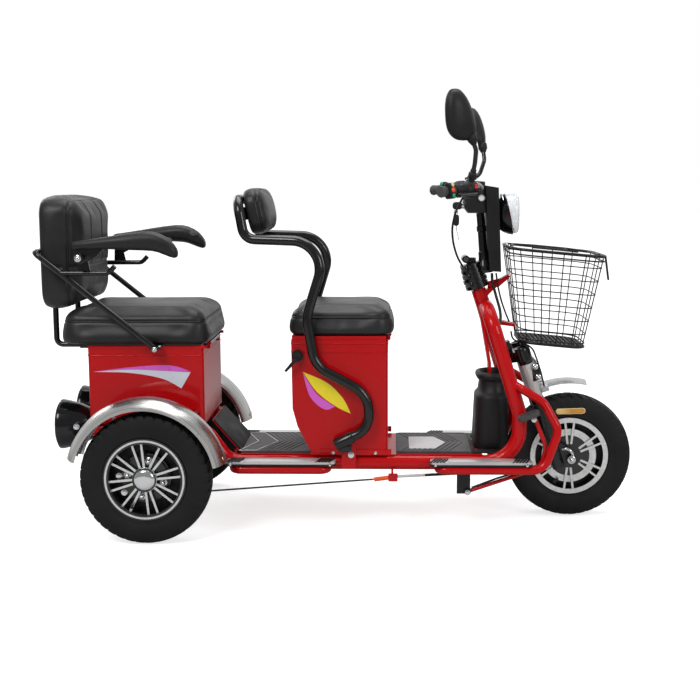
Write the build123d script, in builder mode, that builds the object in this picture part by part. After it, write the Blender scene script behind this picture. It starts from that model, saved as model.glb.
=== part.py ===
"""Three-wheel electric scooter with two seats, two storage boxes and a front basket.

Millimetres. +X is forward, +Y is left, +Z is up. The origin is on the ground, in the middle
of the overall length and width.
"""

import os
from math import cos, radians, sin, sqrt, tan

from build123d import *

os.makedirs("parts", exist_ok=True)

# ---- driving dimensions ----
wheelbase = 1188
tyre_radius = 181
tyre_width = 80
overall_width = 720
seat_overhang = 322  # from the rear axle back to the bend of the seat brace
rail_diameter = 42
rail_y = 140  # centre line of each side rail
rail_z = 186
head_z = 645  # reference point on the steering axis, level with the top of the head tube
head_back = 260  # from the front axle back to that point
head_lean = 18  # degrees that the steering axis leans back
sheet = 2.0  # steel sheet of the boxes, the floor and the fenders
seat = 0.3  # gap between pieces that rest on each other
play = 0.05  # radial running clearance of a shaft in its bore

# ---- places that follow from them ----
rear_x = (seat_overhang - wheelbase - tyre_radius) / 2
front_x = rear_x + wheelbase
mid_x = (rear_x + front_x) / 2
axle_z = tyre_radius
head_x = front_x - head_back
rail_top = rail_z + rail_diameter / 2
floor_z = rail_top + seat + sheet
steering = Plane(
    origin=(head_x, 0, head_z),
    x_dir=(cos(radians(head_lean)), 0, sin(radians(head_lean))),
    z_dir=(-sin(radians(head_lean)), 0, cos(radians(head_lean))),
)
sides = {"right": -1, "left": 1}


def bar(points, diameter, bends=0.0):
    """A round bar along straight runs, each corner a tangent arc of the radius in bends."""
    with BuildPart() as piece:
        with BuildLine() as route:
            if len(points) == 2:
                Polyline(*points)
            else:
                FilletPolyline(*points, radius=bends)
        with BuildSketch(Plane(origin=route.line @ 0, z_dir=route.line % 0)):
            Circle(diameter / 2)
        sweep()
    return piece.part


def side_plate(outline, y_low, y_high):
    """A flat plate with the given X-Z outline, between two Y values."""
    with BuildPart() as piece:
        with BuildSketch(Plane.XZ.offset(-y_low)):
            with BuildLine():
                Polyline(*outline, close=True)
            make_face()
        extrude(amount=-(y_high - y_low))
    return piece.part


def across(x, z, radius, y_low, y_high):
    """A round rod along Y."""
    with BuildPart() as piece:
        with BuildSketch(Plane.XZ.offset(-y_low)):
            with Locations((x, z)):
                Circle(radius)
        extrude(amount=-(y_high - y_low))
    return piece.part


def block(x_low, x_high, y_low, y_high, z_low, z_high):
    """A plain block between the given limits."""
    with BuildPart() as piece:
        with BuildSketch(Plane.XY.offset(z_low)):
            with Locations(((x_low + x_high) / 2, (y_low + y_high) / 2)):
                Rectangle(x_high - x_low, y_high - y_low)
        extrude(amount=z_high - z_low)
    return piece.part


def save(piece, name):
    """Label a finished sub-part and write its STEP file."""
    piece.label = name
    export_step(piece, f"parts/{name}.step")


# ======================================================================================
# Wheels
# ======================================================================================
rim_lip_radius = 114
rim_seat_radius = 105
rim_inner_radius = 99
rim_half_width = 35
flange = 4
bead = rim_half_width - flange - seat
axle_radius = 10
track_y = (overall_width - 105) / 2
fender_width = overall_width - 2 * track_y
hub_radius = 33
hub_front = 36  # outer face of the hub, from the wheel's centre plane
drum_radius = 68
drum_back = -27
spoke_back = 12
spoke_front = 27
plate_gap = 5


def tyre(centre):
    """A tyre as one closed ring about the Y axis through centre."""
    crown = tyre_radius - 5
    shoulder = tyre_width / 2 - 6
    with BuildPart() as piece:
        with BuildSketch(Plane.XY.move(Location(centre))):
            with BuildLine():
                Line((rim_seat_radius + seat, -bead), (rim_seat_radius + seat, bead))
                Line((rim_seat_radius + seat, bead), (rim_lip_radius + seat, bead))
                ThreePointArc(
                    (rim_lip_radius + seat, bead),
                    (tyre_radius - 34, tyre_width / 2),
                    (crown, shoulder),
                )
                ThreePointArc((crown, shoulder), (tyre_radius, 0), (crown, -shoulder))
                ThreePointArc(
                    (crown, -shoulder),
                    (tyre_radius - 34, -tyre_width / 2),
                    (rim_lip_radius + seat, -bead),
                )
                Line((rim_lip_radius + seat, -bead), (rim_seat_radius + seat, -bead))
            make_face()
        revolve(axis=Axis(centre, (0, 1, 0)))
    return piece.part


def rim_barrel(centre):
    """The rim's barrel with a flange at each side."""
    inner = rim_half_width - flange
    with BuildPart() as piece:
        with BuildSketch(Plane.XY.move(Location(centre))):
            with BuildLine():
                Polyline(
                    (rim_inner_radius, -rim_half_width),
                    (rim_lip_radius, -rim_half_width),
                    (rim_lip_radius, -inner),
                    (rim_seat_radius, -inner),
                    (rim_seat_radius, inner),
                    (rim_lip_radius, inner),
                    (rim_lip_radius, rim_half_width),
                    (rim_inner_radius, rim_half_width),
                    close=True,
                )
            make_face()
        revolve(axis=Axis(centre, (0, 1, 0)))
    return piece.part


def spokes(centre, outward, pairs, root, low, high, first_angle):
    """Pairs of spokes that spread like a V from the hub to the rim."""
    with BuildPart() as piece:
        face = Plane(origin=centre, x_dir=(1, 0, 0), z_dir=(0, outward, 0)).offset(low)
        with BuildSketch(face):
            with PolarLocations(0, pairs, start_angle=first_angle):
                for side in (-1, 1):
                    with BuildLine(mode=Mode.PRIVATE) as outline:
                        Polyline(
                            (root, side * 2),
                            (rim_inner_radius + 1, side * 10),
                            (rim_inner_radius + 1, side * 16),
                            (root, side * 8.5),
                            close=True,
                        )
                    add(make_face(outline.edges(), mode=Mode.PRIVATE))
        extrude(amount=high - low)
    return piece.part


for name, side in sides.items():
    centre = (rear_x, side * track_y, axle_z)
    outer_face = Plane(origin=centre, x_dir=(1, 0, 0), z_dir=(0, side, 0))
    save(tyre(centre), f"rear_tyre_{name}")

    with BuildPart() as rear_rim:
        add(rim_barrel(centre))
        add(spokes(centre, side, 8, hub_radius - 3, spoke_back, spoke_front, 12))
        with BuildSketch(outer_face.offset(8)):
            Circle(62)
        extrude(amount=8)
        with BuildSketch(outer_face.offset(8)):
            Circle(hub_radius)
        extrude(amount=hub_front - 8)
        with BuildSketch(outer_face.offset(drum_back)):
            Circle(drum_radius)
            Circle(drum_radius - 8, mode=Mode.SUBTRACT)
        extrude(amount=8 - drum_back)
        with BuildSketch(outer_face.offset(drum_back)):
            Circle(axle_radius + 10)
        extrude(amount=8 - drum_back)
        with BuildSketch(outer_face):
            Circle(drum_radius)
        extrude(amount=8)
        with BuildSketch(outer_face.offset(drum_back)):
            Circle(axle_radius + play)
        extrude(amount=hub_front - 8 - drum_back, mode=Mode.SUBTRACT)
    save(rear_rim.part, f"rear_rim_{name}")

front_centre = (front_x, 0, axle_z)
front_axle_radius = 7
motor_radius = 80
motor_half_width = 33
save(tyre(front_centre), "front_tyre")

with BuildPart() as front_rim:
    add(rim_barrel(front_centre))
    for outward in (-1, 1):
        add(spokes(front_centre, outward, 6, motor_radius - 45, 14, motor_half_width + 2, 30))
    add(across(front_x, axle_z, motor_radius, -motor_half_width + 4, motor_half_width - 4))
    add(across(front_x, axle_z, motor_radius - 24, -motor_half_width, motor_half_width))
    with BuildSketch(Plane.XZ.offset(-rim_half_width)):
        with Locations((front_x, axle_z)):
            Circle(front_axle_radius + play)
    extrude(amount=2 * rim_half_width, mode=Mode.SUBTRACT)
save(front_rim.part, "front_rim")

# ======================================================================================
# Main frame: two rails that rise at the front into one hoop, head tube and cross members
# ======================================================================================
lean_slope = tan(radians(head_lean))
shoulder_z = 618  # where the hoop crosses the head tube
shoulder_y = 128
knee_z = 325
knee_x = front_x - 157
shoulder_x = knee_x - (shoulder_z - knee_z) * 0.307
rear_rail_z = axle_z + 100
rear_box_bottom = rear_rail_z + rail_diameter / 2 + seat
rear_box_top = rear_rail_z + 237
rear_box_half = rail_y + 35
rear_box_rear = rear_x - 187
rear_box_front = rear_x + 141
rear_rail_end = rear_x - 191
kick_front = rear_x + 204
kick_back = rear_x + 134
head_outer = 21
steerer_radius = 15
head_top = 24  # along the steering axis from its reference point
head_bottom = -110
cross_radius = 15
front_cross_x = front_x - 224

box_half = rail_y + 20
guard_diameter = 28
guard_y = box_half + 30
lug_face = guard_y - guard_diameter / 2 - seat  # outer face of each lug that holds the guard hoop

basket_tilt = -5.5
basket_plane = Plane(
    origin=(front_x - 62, 0, 516),
    x_dir=(cos(radians(basket_tilt)), 0, sin(radians(basket_tilt))),
    z_dir=(-sin(radians(basket_tilt)), 0, cos(radians(basket_tilt))),
)
basket_height = 268
basket_wall = 3
basket_low = (187, 220)  # length and width of its bottom
basket_high = (278, 304)  # and of its rim
basket_set_back = 17  # the middle of the rim, behind the middle of the bottom


def basket_back(height):
    """X of the basket's back wall at a height along its own axis, less the seat."""
    share = height / basket_height
    reach = basket_low[0] / 2 * (1 - share) + (basket_high[0] / 2 + basket_set_back) * share
    return basket_plane.from_local_coords(Vector(-reach, 0, height)).X - seat


basket_back_top = basket_back(185)  # at the upper arm
basket_back_low = basket_back(42)  # at the lower stay

with BuildPart() as main_frame:
    add(
        bar(
            [
                (rear_rail_end, -rail_y, rear_rail_z),
                (kick_back, -rail_y, rear_rail_z),
                (kick_front, -rail_y, rail_z),
                (knee_x, -rail_y, rail_z),
                (knee_x, -rail_y + 2, knee_z),
                (shoulder_x, -shoulder_y, shoulder_z),
                (shoulder_x, 0, shoulder_z),
            ],
            rail_diameter,
            [60, 60, 98, 80, 72],
        )
    )
    mirror(about=Plane.XZ)
    for x, z in (
        (front_cross_x, rail_z),
        (mid_x + 90, rail_z),
        (mid_x - 180, rail_z),
        (kick_front + 10, rail_z),
        (rear_x + 110, rear_rail_z),
        (rear_x - 60, rear_rail_z),
        (rear_rail_end + 12, rear_rail_z),
    ):
        add(across(x, z, cross_radius, -rail_y, rail_y))
    with BuildSketch(steering.offset(head_bottom)):
        Circle(head_outer)
    extrude(amount=head_top - head_bottom)
    # flat brace from the back of the head tube down to the front cross member
    add(
        side_plate(
            [
                (head_x - 4, 600),
                (head_x + 22, 452),
                (front_cross_x - 6, rail_z),
                (front_cross_x + 4, rail_z),
                (head_x + 31, 452),
                (head_x + 6, 600),
            ],
            -20,
            20,
        )
    )
    # lugs for the feet of the guard hoop
    for side in (-1, 1):
        low, high = sorted((side * (rail_y + 10), side * lug_face))
        add(block(mid_x - 66, mid_x - 26, low, high, rail_z - 12, rail_z + 14))
        low, high = sorted((side * (box_half + 2), side * lug_face))
        add(block(mid_x - 66, mid_x - 26, low, high, rail_z - 12, rail_z + 88))
    # arm from the head tube up to the basket
    add(
        side_plate(
            [
                (head_x + 4, 634),
                (head_x + 36, 668),
                (head_x + 72, 693),
                (basket_back_top, 706),
                (basket_back_top, 713),
                (head_x + 51, 696),
                (head_x + 30, 674),
                (head_x + 8, 665),
            ],
            -14,
            14,
        )
    )
    # lower stay of the basket
    add(
        side_plate(
            [
                (head_x + 38, 582),
                (basket_back_low, 568),
                (basket_back_low, 560),
                (head_x + 38, 568),
            ],
            -24,
            24,
        )
    )
    with BuildSketch(steering.offset(head_bottom)):
        Circle(steerer_radius + play)
    extrude(amount=head_top - head_bottom, mode=Mode.SUBTRACT)
save(main_frame.part, "main_frame")

# ---- tubes under the side boards; the front ones rise and join the hoop ----
carrier_diameter = 24
carrier_z = 178
board_rear = (rear_x + 203, mid_x - 82)
board_front = (mid_x + 183, front_x - 126)
rail_side = rail_y + rail_diameter / 2 + seat
carrier_y = rail_side + 44.7

with BuildPart() as side_board_carriers:
    add(
        bar(
            [
                (board_rear[0] + 20, -rail_side, carrier_z),
                (board_rear[0] + 20, -carrier_y, carrier_z),
                (board_rear[1] - 24, -carrier_y, carrier_z),
                (board_rear[1] - 24, -rail_side, carrier_z),
            ],
            carrier_diameter,
            24,
        )
    )
    add(
        bar(
            [
                (board_front[0] + 24, -rail_side, carrier_z),
                (board_front[0] + 24, -carrier_y, carrier_z),
                (front_x - 95, -carrier_y, carrier_z),
                (front_x - 52, -carrier_y + 16, 290),
                (front_x - 95, -carrier_y + 30, 366),
                (front_x - 150, -rail_y - 20, 398),
            ],
            carrier_diameter,
            [24, 50, 55, 50],
        )
    )
    mirror(about=Plane.XZ)
save(side_board_carriers.part, "side_board_carriers")

# ======================================================================================
# Floor, mats and side boards
# ======================================================================================
floor_rear = kick_front + 30
floor_front = front_x - 200
mat = 4
box_front_x = mid_x + 64
box_rear_x = mid_x - 207
box_taper_x = mid_x - 148

narrow = rail_y - rail_diameter / 2 - 3
with BuildPart() as floor_panel:
    add(block(kick_front + 34, knee_x - 104, -rail_y - 5, rail_y + 5, rail_top + seat, floor_z))
    add(block(kick_front + 30, floor_front, -narrow, narrow, rail_top + seat, floor_z))
    # kick panel that rises to the underside of the rear box
    add(
        side_plate(
            [
                (kick_front + 31, rail_top + seat),
                (kick_front + 31, floor_z),
                (kick_back + 22, rear_box_bottom - 2),
                (kick_back + 19, rear_box_bottom - 2),
            ],
            -narrow,
            narrow,
        )
    )
    brace_slot = (front_cross_x - 14, front_cross_x + 12)
    add(block(*brace_slot, -23, 23, rail_top, floor_z + 1), mode=Mode.SUBTRACT)
save(floor_panel.part, "floor_panel")

mat_z = floor_z + seat
with BuildPart() as floor_mats:
    mat_half = rail_y - 8
    add(block(floor_rear + 4, box_taper_x - 8, -mat_half, mat_half, mat_z, mat_z + mat))
    add(block(box_front_x + 24, front_x - 292, -mat_half, mat_half, mat_z, mat_z + mat))
save(floor_mats.part, "floor_mats")

board_bottom = carrier_z + carrier_diameter / 2 + seat
board_thick = 14
board_inner = rail_side + 2
board_outer = carrier_y + 16
with BuildPart() as side_boards:
    for start, end in (board_rear, board_front):
        with BuildSketch(Plane.XY.offset(board_bottom)):
            with BuildLine():
                Polyline(
                    (start + 12, -board_inner),
                    (start, -board_inner - 14),
                    (start + 16, -board_outer),
                    (end - 26, -board_outer),
                    (end, -board_inner - 20),
                    (end - 8, -board_inner),
                    close=True,
                )
            make_face()
        extrude(amount=board_thick)
    mirror(about=Plane.XZ)
save(side_boards.part, "side_boards")

# ======================================================================================
# Front box with its battery and lock, and the front seat that is its lid
# ======================================================================================
box_bottom = floor_z + seat
box_top = 540


def box_shell(outline, half, z_top):
    """A sheet-metal box, open at the top, with the given X-Z outline."""
    with BuildPart() as piece:
        with BuildSketch(Plane.XZ.offset(half)):
            with BuildLine():
                Polyline(*outline, close=True)
            make_face()
        extrude(amount=-2 * half)
        fillet(piece.edges().filter_by(Axis.Z), 12)
        top = piece.faces().sort_by(Axis.Z)[-1]
        offset(amount=-sheet, openings=top)
    return piece.part


front_outline = [
    (box_rear_x, box_top),
    (box_rear_x + 2, 344),
    (box_rear_x + 16, 292),
    (box_taper_x, box_bottom),
    (box_front_x, box_bottom),
    (box_front_x, box_top),
]
hinge_radius = 5
hinge_pin = 2.5
front_hinge = (box_front_x + 6, box_top + seat + 4)
rear_hinge = (rear_box_front + 6, rear_box_top + seat + 4)


def hinge_ends(hinge, half, wall_x):
    """The fixed pin of a lid's hinge with a knuckle and its tab at each end."""
    x, z = hinge
    with BuildPart() as piece:
        add(across(x, z, hinge_pin, -half - 12, half + 12))
        for side in (-1, 1):
            low, high = sorted((side * (half + 1), side * (half + 14)))
            add(across(x, z, hinge_radius, low, high))
            add(block(wall_x - 1, x + 2, low, high, z - 16, z - 2))
    return piece.part


def hinge_barrel(hinge, half, plate_x):
    """The lid's half of that hinge: a barrel round the pin, with its leaf."""
    x, z = hinge
    with BuildPart() as piece:
        add(across(x, z, hinge_radius, -half, half))
        add(block(plate_x, x, -half, half, z, z + 4))
        add(across(x, z, hinge_pin + play, -half, half), mode=Mode.SUBTRACT)
    return piece.part


with BuildPart() as front_box:
    add(box_shell(front_outline, box_half, box_top))
    add(hinge_ends(front_hinge, 60, box_front_x))
save(front_box.part, "front_box")

battery_z = box_bottom + sheet + seat
save(
    block(
        box_front_x - sheet - 6 - 181,
        box_front_x - sheet - 6,
        -box_half + sheet + 4,
        box_half - sheet - 4,
        battery_z,
        battery_z + 170,
    ),
    "battery_pack",
)

lock_x = mid_x - 189
lock_z = 496
with BuildPart() as box_lock:
    add(across(lock_x, lock_z, 16, -box_half - 14, -box_half - seat))
    add(across(lock_x, lock_z, 12, -box_half - 20, -box_half - 14))
    add(
        side_plate(
            [
                (lock_x - 6, lock_z - 4),
                (lock_x - 36, lock_z - 40),
                (lock_x - 30, lock_z - 44),
                (lock_x + 6, lock_z - 8),
            ],
            -box_half - 26,
            -box_half - 20,
        )
    )
save(box_lock.part, "box_lock")

base_z = box_top + seat
base_thick = 10
with BuildPart() as front_seat_base:
    add(block(box_rear_x + 2, box_front_x - 4, -box_half + 2, box_half - 2, base_z, base_z + base_thick))
    add(hinge_barrel(front_hinge, 60, box_front_x - 5))
save(front_seat_base.part, "front_seat_base")

cushion_z = base_z + base_thick + seat
with BuildPart() as front_seat_cushion:
    with BuildSketch(Plane.XY.offset(cushion_z)):
        with Locations((mid_x - 67, 0)):
            RectangleRounded(304, 2 * box_half + 10, 45)
    extrude(amount=78)
    fillet(front_seat_cushion.faces().sort_by(Axis.Z)[-1].edges(), 26)
save(front_seat_cushion.part, "front_seat_cushion")

# ======================================================================================
# Guard hoop around the front seat, with its back pad
# ======================================================================================
guard_path = [
    (mid_x - 82, -guard_y, 246),
    (mid_x + 12, -guard_y, 293),
    (mid_x + 10, -guard_y, 391),
    (mid_x - 138, -guard_y, 470),
    (mid_x - 161, -guard_y + 1, 607),
    (mid_x - 97, -guard_y + 8, 814),
    (mid_x - 334, -guard_y + 32, 822),
    (mid_x - 354, -guard_y + 40, 930),
]
far_side = [(x, -y, z) for x, y, z in reversed(guard_path)]
corner_bends = [60, 80, 80, 110, 79, 36, 45]
guard_bends = corner_bends + corner_bends[::-1]

pad_lean = 12
pad_plane = Plane(
    origin=(mid_x - 347, 0, 889),
    x_dir=(0, 1, 0),
    z_dir=(cos(radians(pad_lean)), 0, sin(radians(pad_lean))),
)
pad_back = 16  # from that plane to the back of the pad

with BuildPart() as guard_hoop:
    add(bar(guard_path + far_side, guard_diameter, guard_bends))
    # strap across the uprights, which carries the pad
    with BuildSketch(pad_plane.offset(-6)):
        Rectangle(2 * guard_y - 74, 36)
    extrude(amount=pad_back - seat + 6)
save(guard_hoop.part, "guard_hoop")

with BuildPart() as guard_pad:
    with BuildSketch(pad_plane.offset(pad_back)):
        RectangleRounded(290, 136, 45)
    extrude(amount=62)
    fillet(guard_pad.faces().sort_by(Axis.X)[-1].edges(), 24)
save(guard_pad.part, "guard_pad")

# ======================================================================================
# Rear box and the rear seat that is its lid
# ======================================================================================
rear_outline = [
    (rear_box_rear, rear_box_top),
    (rear_box_rear, rear_box_bottom),
    (rear_box_front, rear_box_bottom),
    (rear_box_front, rear_box_top),
]
with BuildPart() as rear_box:
    add(box_shell(rear_outline, rear_box_half, rear_box_top))
    add(hinge_ends(rear_hinge, 80, rear_box_front))
save(rear_box.part, "rear_box")

rear_base_z = rear_box_top + seat
rear_base_thick = 12
brace_y = rear_box_half + 45
brace_diameter = 16
brace_bend = 20
brace_foot_x = rear_x + 14
brace_top_z = rear_box_top + 272
brace_back_x = rear_x - seat_overhang + brace_diameter / 2
backrest_back = brace_back_x + brace_diameter / 2 + seat
backrest_low = rear_box_top + 111
backrest_high = rear_box_top + 423
carrier_x = rear_x - 287  # the tubes that carry the backrest

pivot_x = rear_x - 180
pivot_z = rear_box_top + 258
pin_radius = 5
mount_z = rear_box_top + 215
mount_y = brace_y - 1  # inner face of each armrest's mounting plate
brace_slope = (brace_top_z - rear_base_z - 6) / (brace_foot_x - brace_back_x)
mount_start_x = brace_foot_x - (mount_z - rear_base_z - 6) / brace_slope

with BuildPart() as rear_seat_frame:
    add(
        block(
            rear_box_rear - 20,
            rear_box_front - 4,
            -rear_box_half + 2,
            rear_box_half - 2,
            rear_base_z,
            rear_base_z + rear_base_thick,
        )
    )
    add(hinge_barrel(rear_hinge, 80, rear_box_front - 5))
    # brace that runs round the back of the backrest
    add(
        bar(
            [
                (brace_foot_x, -brace_y, rear_base_z + 6),
                (brace_back_x, -brace_y, brace_top_z),
                (brace_back_x, brace_y, brace_top_z),
                (brace_foot_x, brace_y, rear_base_z + 6),
            ],
            brace_diameter,
            brace_bend,
        )
    )
    for side in (-1, 1):
        low, high = sorted((side * (rear_box_half - 10), side * (brace_y + 6)))
        add(block(brace_foot_x - 14, brace_foot_x + 14, low, high, rear_base_z + 2, rear_base_z + 10))
        # J-shaped tube that carries the backrest
        add(
            bar(
                [
                    (rear_box_rear - 2, side * 120, rear_base_z + 4),
                    (carrier_x, side * 120, rear_base_z + 4),
                    (carrier_x, side * 120, backrest_low - seat),
                ],
                brace_diameter,
                18,
            )
        )
        # armrest mount: a branch of the brace, a plate and the pivot pin
        add(
            bar(
                [
                    (mount_start_x, side * brace_y, mount_z),
                    (rear_x - 108, side * brace_y, mount_z),
                    (rear_x - 90, side * brace_y, mount_z + 19),
                ],
                14,
                20,
            )
        )
        low, high = sorted((side * mount_y, side * (mount_y + 4)))
        add(
            side_plate(
                [
                    (pivot_x - 14, mount_z - 2),
                    (pivot_x + 24, mount_z - 2),
                    (pivot_x + 12, pivot_z + 10),
                    (pivot_x - 12, pivot_z + 10),
                ],
                low,
                high,
            )
        )
        low, high = sorted((side * mount_y, side * (mount_y + 13)))
        add(across(pivot_x, pivot_z, pin_radius, low, high))
save(rear_seat_frame.part, "rear_seat_frame")

with BuildPart() as rear_seat_cushion:
    with BuildSketch(Plane.XY.offset(rear_base_z + rear_base_thick + seat)):
        with Locations((rear_x - 52, 0)):
            RectangleRounded(428, 2 * rear_box_half + 50, 45)
    extrude(amount=95)
    fillet(rear_seat_cushion.faces().sort_by(Axis.Z)[-1].edges(), 30)
save(rear_seat_cushion.part, "rear_seat_cushion")

with BuildPart() as rear_backrest:
    with BuildSketch(Plane.YZ.offset(backrest_back)):
        with Locations((0, (backrest_low + backrest_high) / 2)):
            RectangleRounded(2 * brace_y - 40, backrest_high - backrest_low, 60)
    extrude(amount=104)
    fillet(rear_backrest.faces().sort_by(Axis.X)[-1].edges(), 40)
save(rear_backrest.part, "rear_backrest")

# ---- armrests, each of which turns up about its pin ----
for name, side in sides.items():
    with BuildPart() as armrest:
        pad_low, pad_high = sorted((side * (mount_y - 1), side * (mount_y + 51)))
        rest = pivot_z + 27  # underside of the pad at its back end
        with BuildSketch(Plane.XZ.offset(-pad_low)):
            with BuildLine():
                Line((rear_x - 198, rest), (rear_x - 198, rest + 21))
                ThreePointArc(
                    (rear_x - 198, rest + 21), (rear_x - 90, rest + 33), (rear_x + 5, rest + 47)
                )
                ThreePointArc(
                    (rear_x + 5, rest + 47), (rear_x + 60, rest + 33), (rear_x + 89, rest - 7)
                )
                ThreePointArc(
                    (rear_x + 89, rest - 7), (rear_x + 78, rest - 23), (rear_x + 61, rest - 24)
                )
                ThreePointArc(
                    (rear_x + 61, rest - 24), (rear_x + 30, rest - 8), (rear_x - 42, rest - 2)
                )
                Line((rear_x - 42, rest - 2), (rear_x - 198, rest))
            make_face()
        extrude(amount=-(pad_high - pad_low))
        loop_y = side * (mount_y + 21)
        add(
            bar(
                [
                    (rear_x - 108, loop_y, rest + 3),
                    (rear_x - 72, loop_y, rest - 39),
                    (rear_x + 10, loop_y, rest - 39),
                    (rear_x + 32, loop_y, rest + 1),
                ],
                12,
                24,
            )
        )
        low, high = sorted((side * (mount_y + 5.5), side * (mount_y + 9.5)))
        add(
            side_plate(
                [
                    (pivot_x - 10, pivot_z - 10),
                    (pivot_x + 10, pivot_z - 10),
                    (pivot_x + 40, rest + 3),
                    (pivot_x - 14, rest + 3),
                ],
                low,
                high,
            )
        )
        add(across(pivot_x, pivot_z, pin_radius + play, low, high), mode=Mode.SUBTRACT)
    save(armrest.part, f"armrest_{name}")

# ======================================================================================
# Rear axle, fenders and tail lamps
# ======================================================================================
with BuildPart() as rear_axle:
    plate_back = track_y + drum_back - plate_gap
    add(across(rear_x, axle_z, 22, -plate_back + 8, plate_back - 8))
    add(across(rear_x, axle_z, axle_radius, -track_y - 24, track_y + 24))
    for side in (-1, 1):
        low, high = sorted((side * (plate_back - 5), side * plate_back))
        add(across(rear_x, axle_z, drum_radius - 4, low, high))
        # brake arm
        low, high = sorted((side * (plate_back - 9), side * (plate_back - 3)))
        add(
            side_plate(
                [
                    (rear_x - 14, axle_z - 10),
                    (rear_x + 36, axle_z - 66),
                    (rear_x + 54, axle_z - 60),
                    (rear_x + 14, axle_z + 10),
                ],
                low,
                high,
            )
        )
        low, high = sorted((side * (rail_y - 5), side * (rail_y + 5)))
        add(
            side_plate(
                [
                    (rear_x - 28, axle_z - 28),
                    (rear_x + 28, axle_z - 28),
                    (rear_x + 40, rear_rail_z - rail_diameter / 2 - seat),
                    (rear_x - 40, rear_rail_z - rail_diameter / 2 - seat),
                ],
                low,
                high,
            )
        )
save(rear_axle.part, "rear_axle")

fender_radius = tyre_radius + 42
front_edge = radians(11)  # the front end's angle above the level of the axle
fender_start = (cos(front_edge), 0, sin(front_edge))
fender_normal = (-sin(front_edge), 0, cos(front_edge))
fender_lip = tyre_radius + 12
lip_half = fender_width / 2
for name, side in sides.items():
    centre = (rear_x, side * track_y, axle_z)
    with BuildPart() as rear_fender:
        with BuildSketch(Plane(origin=centre, x_dir=fender_start, z_dir=fender_normal)):
            with BuildLine():
                Line((fender_lip, -lip_half), (fender_lip + 8, -lip_half))
                ThreePointArc(
                    (fender_lip + 8, -lip_half), (fender_radius, 0), (fender_lip + 8, lip_half)
                )
                Line((fender_lip + 8, lip_half), (fender_lip, lip_half))
                Line((fender_lip, lip_half), (fender_lip, lip_half - sheet))
                Line((fender_lip, lip_half - sheet), (fender_lip + 7, lip_half - sheet))
                ThreePointArc(
                    (fender_lip + 7, lip_half - sheet),
                    (fender_radius - sheet, 0),
                    (fender_lip + 7, -lip_half + sheet),
                )
                Line((fender_lip + 7, -lip_half + sheet), (fender_lip, -lip_half + sheet))
                Line((fender_lip, -lip_half + sheet), (fender_lip, -lip_half))
            make_face()
        revolve(axis=Axis(centre, (0, -1, 0)), revolution_arc=154)
        for stay_rise, way in ((17, -1), (35, 1)):
            stay_z = rear_box_bottom + stay_rise
            stay_dx = way * sqrt((fender_lip + 4) ** 2 - (stay_z - axle_z) ** 2)
            low, high = sorted((side * (rear_box_half + seat), side * (track_y - lip_half + 1)))
            add(across(rear_x + stay_dx, stay_z, 5, low, high))
    save(rear_fender.part, f"rear_fender_{name}")

lamp_radius = 72
lamp_depth = 74
lamp_z = rear_box_bottom - 12
lamp_y = 118
with BuildPart() as tail_lamps:
    with BuildSketch(Plane.YZ.offset(rear_box_rear - seat)):
        with Locations((-lamp_y, lamp_z + 40), (lamp_y, lamp_z + 40)):
            Circle(14)
    extrude(amount=-30)
    with BuildSketch(Plane.YZ.offset(rear_box_rear - 28)):
        with Locations((-lamp_y, lamp_z), (lamp_y, lamp_z)):
            Circle(lamp_radius)
    extrude(amount=-lamp_depth)
    fillet(tail_lamps.faces().group_by(Axis.X)[0].edges(), 44)
save(tail_lamps.part, "tail_lamps")

# ======================================================================================
# Footwell cover and basket
# ======================================================================================
cover_top = 430
cover_x = front_x - 236
with BuildPart() as footwell_cover:
    with BuildSketch(Plane.XY.offset(floor_z + seat)):
        with Locations((cover_x, 0)):
            RectangleRounded(86, 170, 30)
    with BuildSketch(Plane.XY.offset(cover_top - 34)):
        with Locations((cover_x, 0)):
            RectangleRounded(80, 150, 30)
    loft()
    with BuildSketch(Plane.XY.offset(cover_top - 34)):
        with Locations((cover_x, 0)):
            RectangleRounded(88, 166, 34)
    extrude(amount=34)
    add(
        side_plate(
            [
                (head_x + 16, 470),
                (front_cross_x - 14, rail_z),
                (front_cross_x + 12, rail_z),
                (head_x + 38, 470),
            ],
            -22,
            22,
        ),
        mode=Mode.SUBTRACT,
    )
save(footwell_cover.part, "footwell_cover")

with BuildPart() as basket:
    for shrink, mode in ((0, Mode.ADD), (basket_wall, Mode.SUBTRACT)):
        with BuildSketch(basket_plane.offset(shrink)) as low_section:
            RectangleRounded(basket_low[0] - 2 * shrink, basket_low[1] - 2 * shrink, 50 - shrink)
        with BuildSketch(basket_plane.offset(basket_height)) as high_section:
            with Locations((-basket_set_back, 0)):
                RectangleRounded(basket_high[0] - 2 * shrink, basket_high[1] - 2 * shrink, 64 - shrink)
        loft([low_section.sketch.face(), high_section.sketch.face()], mode=mode)
save(basket.part, "basket")

# ======================================================================================
# Foot brake
# ======================================================================================
pedal_y = -carrier_y + 16
with BuildPart() as brake_pedal:
    with BuildSketch(Plane.XZ.offset(-pedal_y + 23)):
        with Locations(Location((front_x - 138, 332), 12)):
            RectangleRounded(68, 20, 9)
    extrude(amount=-46)
save(brake_pedal.part, "brake_pedal")

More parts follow.
